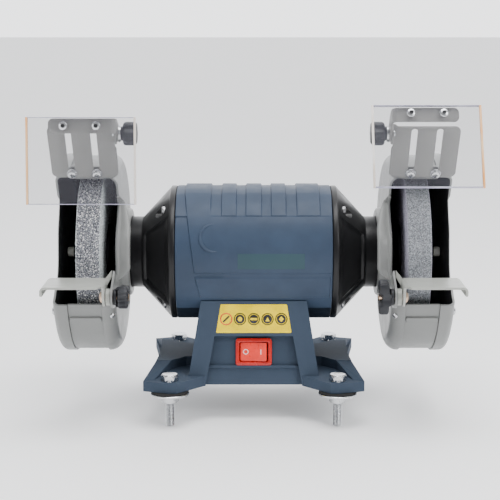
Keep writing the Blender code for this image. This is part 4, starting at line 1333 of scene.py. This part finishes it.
def spark_plate(word, side):
    """The slotted plate with its bent ear, held by two screws on washers."""
    node = f"spark_plate_{word}"
    thick, bend = 1.7, 2.2
    low_v, high_v = PLATE_SPAN
    inner, outer = PLATE_X
    fold = (inner + bend + thick / 2 - 1.6, -1, bend)
    arc_length = bend * math.pi / 2
    ear_end = fold[0] - arc_length - 8.0
    flat = [(inner + 3.0, low_v), (outer, low_v), (outer, high_v), (inner + 4.0, high_v)]
    ear = [(fold[0], PIVOT_ALONG + 6.5), (ear_end, PIVOT_ALONG + 5.0), (ear_end, PIVOT_ALONG - 7.0)]
    ear += [(fold[0], 123.0), (inner, 118.0), (inner, low_v + 3)]
    outline = rounded(flat + ear, [3, 5, 5, 4, 2, 5, 5, 3, 5, 2])
    holes = [slot_outline((x, 91.5), (x, 136.5), 2.6) for x in SLOT_X]

    def place(u, v, w):
        return (side * u, *on_plate(v, w - thick / 2))

    plate = sheet(node, [outline, *holes], thick, place, "plate", (fold,), 0.3)
    bore = sided(side, [(100, 3.1), (117, 3.1)])
    cut(plate, turned("bore", bore, closed=False, sides=24, centre=(0, *PIVOT)))
    soften(plate, 0.15)
    stand_for(plate, node)
    out = on_plate(0, -1)
    for number, x in enumerate(SLOT_X, 1):
        spot = (side * x, *on_plate(92.0, -thick - 0.95))
        screw = pan_screw(f"plate_screw_{word}_{number}", spot, (0, *out), 3.8, 2.6, washer=4.6)
        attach(screw, "root")


def shield_place(side):
    """A place function in the shield's own frame: across, and forward of and above its pivot when upright."""
    tilt = math.radians(SHIELD_TILT[side])
    c, s = math.cos(tilt), math.sin(tilt)

    def place(x, f, z):
        return side * x, PIVOT[0] + f * c - z * s, PIVOT[1] + f * s + z * c

    return place


def eye_shield(word, side):
    """The bent bracket, its two button screws and the clear pane with painted glow on its cut edges."""
    upright = shield_place(side)
    thick, bend = 1.6, 4.0
    low, high = STRIP_Z - STRIP_HIGH / 2, STRIP_Z + STRIP_HIGH / 2
    arm_x = ARM_X[0] + thick / 2
    fold = (arm_x + bend, -1, bend)
    arc_length = bend * math.pi / 2
    arm_start = fold[0] - arc_length
    pivot_u = arm_start - (STRIP_F - bend)
    flat = [(STRIP_OUT, low), (STRIP_OUT, high), (arm_start - 8, high), (pivot_u - 2, 7.0), (pivot_u - 7, 4)]
    flat += [(pivot_u - 7, -4), (pivot_u - 1, -7), (arm_start - 3, low)]
    outline = rounded(flat, [4, 4, 8, 3, 4, 4, 4, 6])
    hole = slot_outline((pivot_u, -0.01), (pivot_u, 0.01), 3.1)

    def place(u, v, w):
        return upright(u, STRIP_F + w, v)

    bracket = sheet(f"shield_bracket_{word}", [outline, hole], thick, place, "plate", (fold,), 0.3)
    soften(bracket, 0.15)
    stand_for(bracket, f"shield_bracket_{word}")

    pane, edge, line = 3.0, 1.7, 0.6
    face = STRIP_F + thick / 2 + 0.3
    near, far = PANE_X
    top = high + 1
    bottom = top - PANE_HIGH
    clear_outline = box_outline(near + edge, far - edge, bottom + line, top - line)

    def pane_place(u, v, w):
        return upright(u, face + pane / 2 + w, v)

    clear = sheet(f"eye_shield_{word}", [clear_outline], pane, pane_place, "clear", edge=0.15)
    stand_for(clear, f"eye_shield_{word}")
    # the cut edges carry painted glow: amber, pale and lilac
    strips = {
        "inner": (box_outline(near, near + edge, bottom, top), "pale"),
        "outer": (box_outline(far - edge, far, bottom, top), "glow"),
        "lower": (box_outline(near + edge, far - edge, bottom, bottom + line), "line"),
        "upper": (box_outline(near + edge, far - edge, top - line, top), "line"),
    }
    for end, (strip, finish) in strips.items():
        cut_edge = sheet(f"pane_edge_{word}_{end}", [strip], pane, pane_place, finish, edge=0.15)
        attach(cut_edge, SHIELD_BODY[side])
    out = Vector(upright(0, 1, 0)) - Vector(upright(0, 0, 0))
    for number, x in enumerate((126.0, 152.4), 1):
        spot = upright(x, STRIP_F - thick / 2, STRIP_Z)
        front = upright(x, face + pane, STRIP_Z)
        button = pan_screw(f"button_{word}_{number}", front, out, 3.6, 2.0, "zinc", "hex")
        shank = round_solid("shank", facing(spot, out), [(-2.4, 2.9), (-2.2, 3.2), (0.0, 3.2)], "zinc", 6)
        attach(join(button, shank), SHIELD_BODY[side])


def star_knob(word, side):
    """The six-lobed knob of the shield's pivot, with its collar, washers and stud."""
    node = f"shield_knob_{word}"
    centre = (0, *PIVOT)

    def lobed(angle):
        return 0.90 + 0.10 * math.cos(6 * angle) - 0.02 * math.cos(12 * angle)

    grip = [(95.6, 6.0), (95.9, 8.6), (96.8, 10.0), (98.5, 10.5), (104.5, 10.5), (106.2, 10.0), (107.0, 8.6)]
    body = [(x, r, lobed) for x, r in grip] + [(107.0, 6.2), (108.6, 5.6), (108.8, 5.2)]
    knob = turned(node, sided(side, body), "knob", closed=False, centre=centre, crease=45)
    cap = [(107.0, 3.0), (108.9, 3.0), (108.9, 6.6), (109.7, 6.6), (109.8, 7.2), (110.6, 7.2), (110.6, 2.9)]
    cap += [(115.4, 2.8), (116.0, 2.3)]
    stud = turned("stud", sided(side, cap), "zinc", closed=False, sides=48, centre=centre)
    stand_for(join(knob, stud), node)


# ---- stage, light and camera ----
def stage():
    """A wide pale floor, a hair below the feet."""
    floor_size, floor_drop = 60.0, 0.0005
    bm = bmesh.new()
    bmesh.ops.create_grid(bm, x_segments=1, y_segments=1, size=floor_size)
    mesh = bpy.data.meshes.new("floor")
    bm.to_mesh(mesh)
    bm.free()
    floor = link("floor", mesh)
    floor.location.z = -floor_drop
    pale = Finish("pale_floor", 0.9, Emission_Color=(1.0, 1.0, 1.0, 1.0), Emission_Strength=0.2)
    pale.colour(pale.ramp(pale.noise(2.0), (0.3, (0.93, 0.93, 0.935)), (0.7, (0.95, 0.95, 0.955))))
    mesh.materials.append(pale.material)


def area_light(name, place, aim, size, power):
    light = bpy.data.lights.new(name, "AREA")
    light.shape = "RECTANGLE"
    light.size, light.size_y = size
    light.energy = power
    obj = link(name, light)
    obj.location = place
    obj.rotation_euler = (Vector(aim) - Vector(place)).to_track_quat("-Z", "Y").to_euler()


def lights():
    """A white room that is brightest behind and above the object, and three large soft boxes."""
    world = bpy.data.worlds.new("studio")
    world.use_nodes = True
    nodes, links = world.node_tree.nodes, world.node_tree.links
    back = nodes["Background"]
    way = nodes.new("ShaderNodeTexCoord").outputs["Generated"]
    split = nodes.new("ShaderNodeSeparateXYZ")
    links.new(way, split.inputs["Vector"])
    spread = nodes.new("ShaderNodeMapRange")
    limits = {"From Min": -0.5, "From Max": 0.7, "To Min": ROOM_FRONT, "To Max": ROOM_BACK}
    for socket, value in limits.items():
        spread.inputs[socket].default_value = value
    links.new(split.outputs["Y"], spread.inputs["Value"])
    links.new(spread.outputs["Result"], back.inputs["Strength"])
    back.inputs["Color"].default_value = (0.97, 0.98, 1.0, 1.0)
    bpy.context.scene.world = world
    middle = (0.0, 0.0, 0.15)
    area_light("top", (0.1, -0.25, 1.3), middle, (0.9, 0.6), 14.0)
    area_light("key", (0.8, -0.9, 0.9), middle, (0.5, 0.5), 7.0)
    area_light("fill", (-1.0, -0.9, 0.5), middle, (0.6, 0.6), 2.5)


def camera():
    """A long lens a little above the spindle, square on to the front."""
    lens_mm, rise_degrees, distance = 97.2, 10.0, 1.205
    cam = bpy.data.cameras.new("camera")
    cam.lens = lens_mm
    cam.shift_x, cam.shift_y = -0.0076, 0.003
    cam.clip_start, cam.clip_end = 0.05, 20.0
    obj = link("camera", cam)
    rise = math.radians(rise_degrees)
    obj.location = AXIS + Vector((0, -math.cos(rise), math.sin(rise))) * distance
    obj.rotation_euler = (math.pi / 2 - rise, 0, 0)
    bpy.context.scene.camera = obj


kept_nodes()
motor_housing()
label()
ledge()
switch()
for word in FEET:
    foot(word)
for word, side in SIDES.items():
    end_bell(word, side)
    wheel(word, *WHEELS[word])
    spindle_pieces(word, side)
    guard_inner(word, side)
    guard_outer(word, side)
    tool_rest(word, side)
    rest_fasteners(word, side)
    wing_knob(word, side)
    spark_plate(word, side)
    eye_shield(word, side)
    star_knob(word, side)
stage()
lights()
camera()
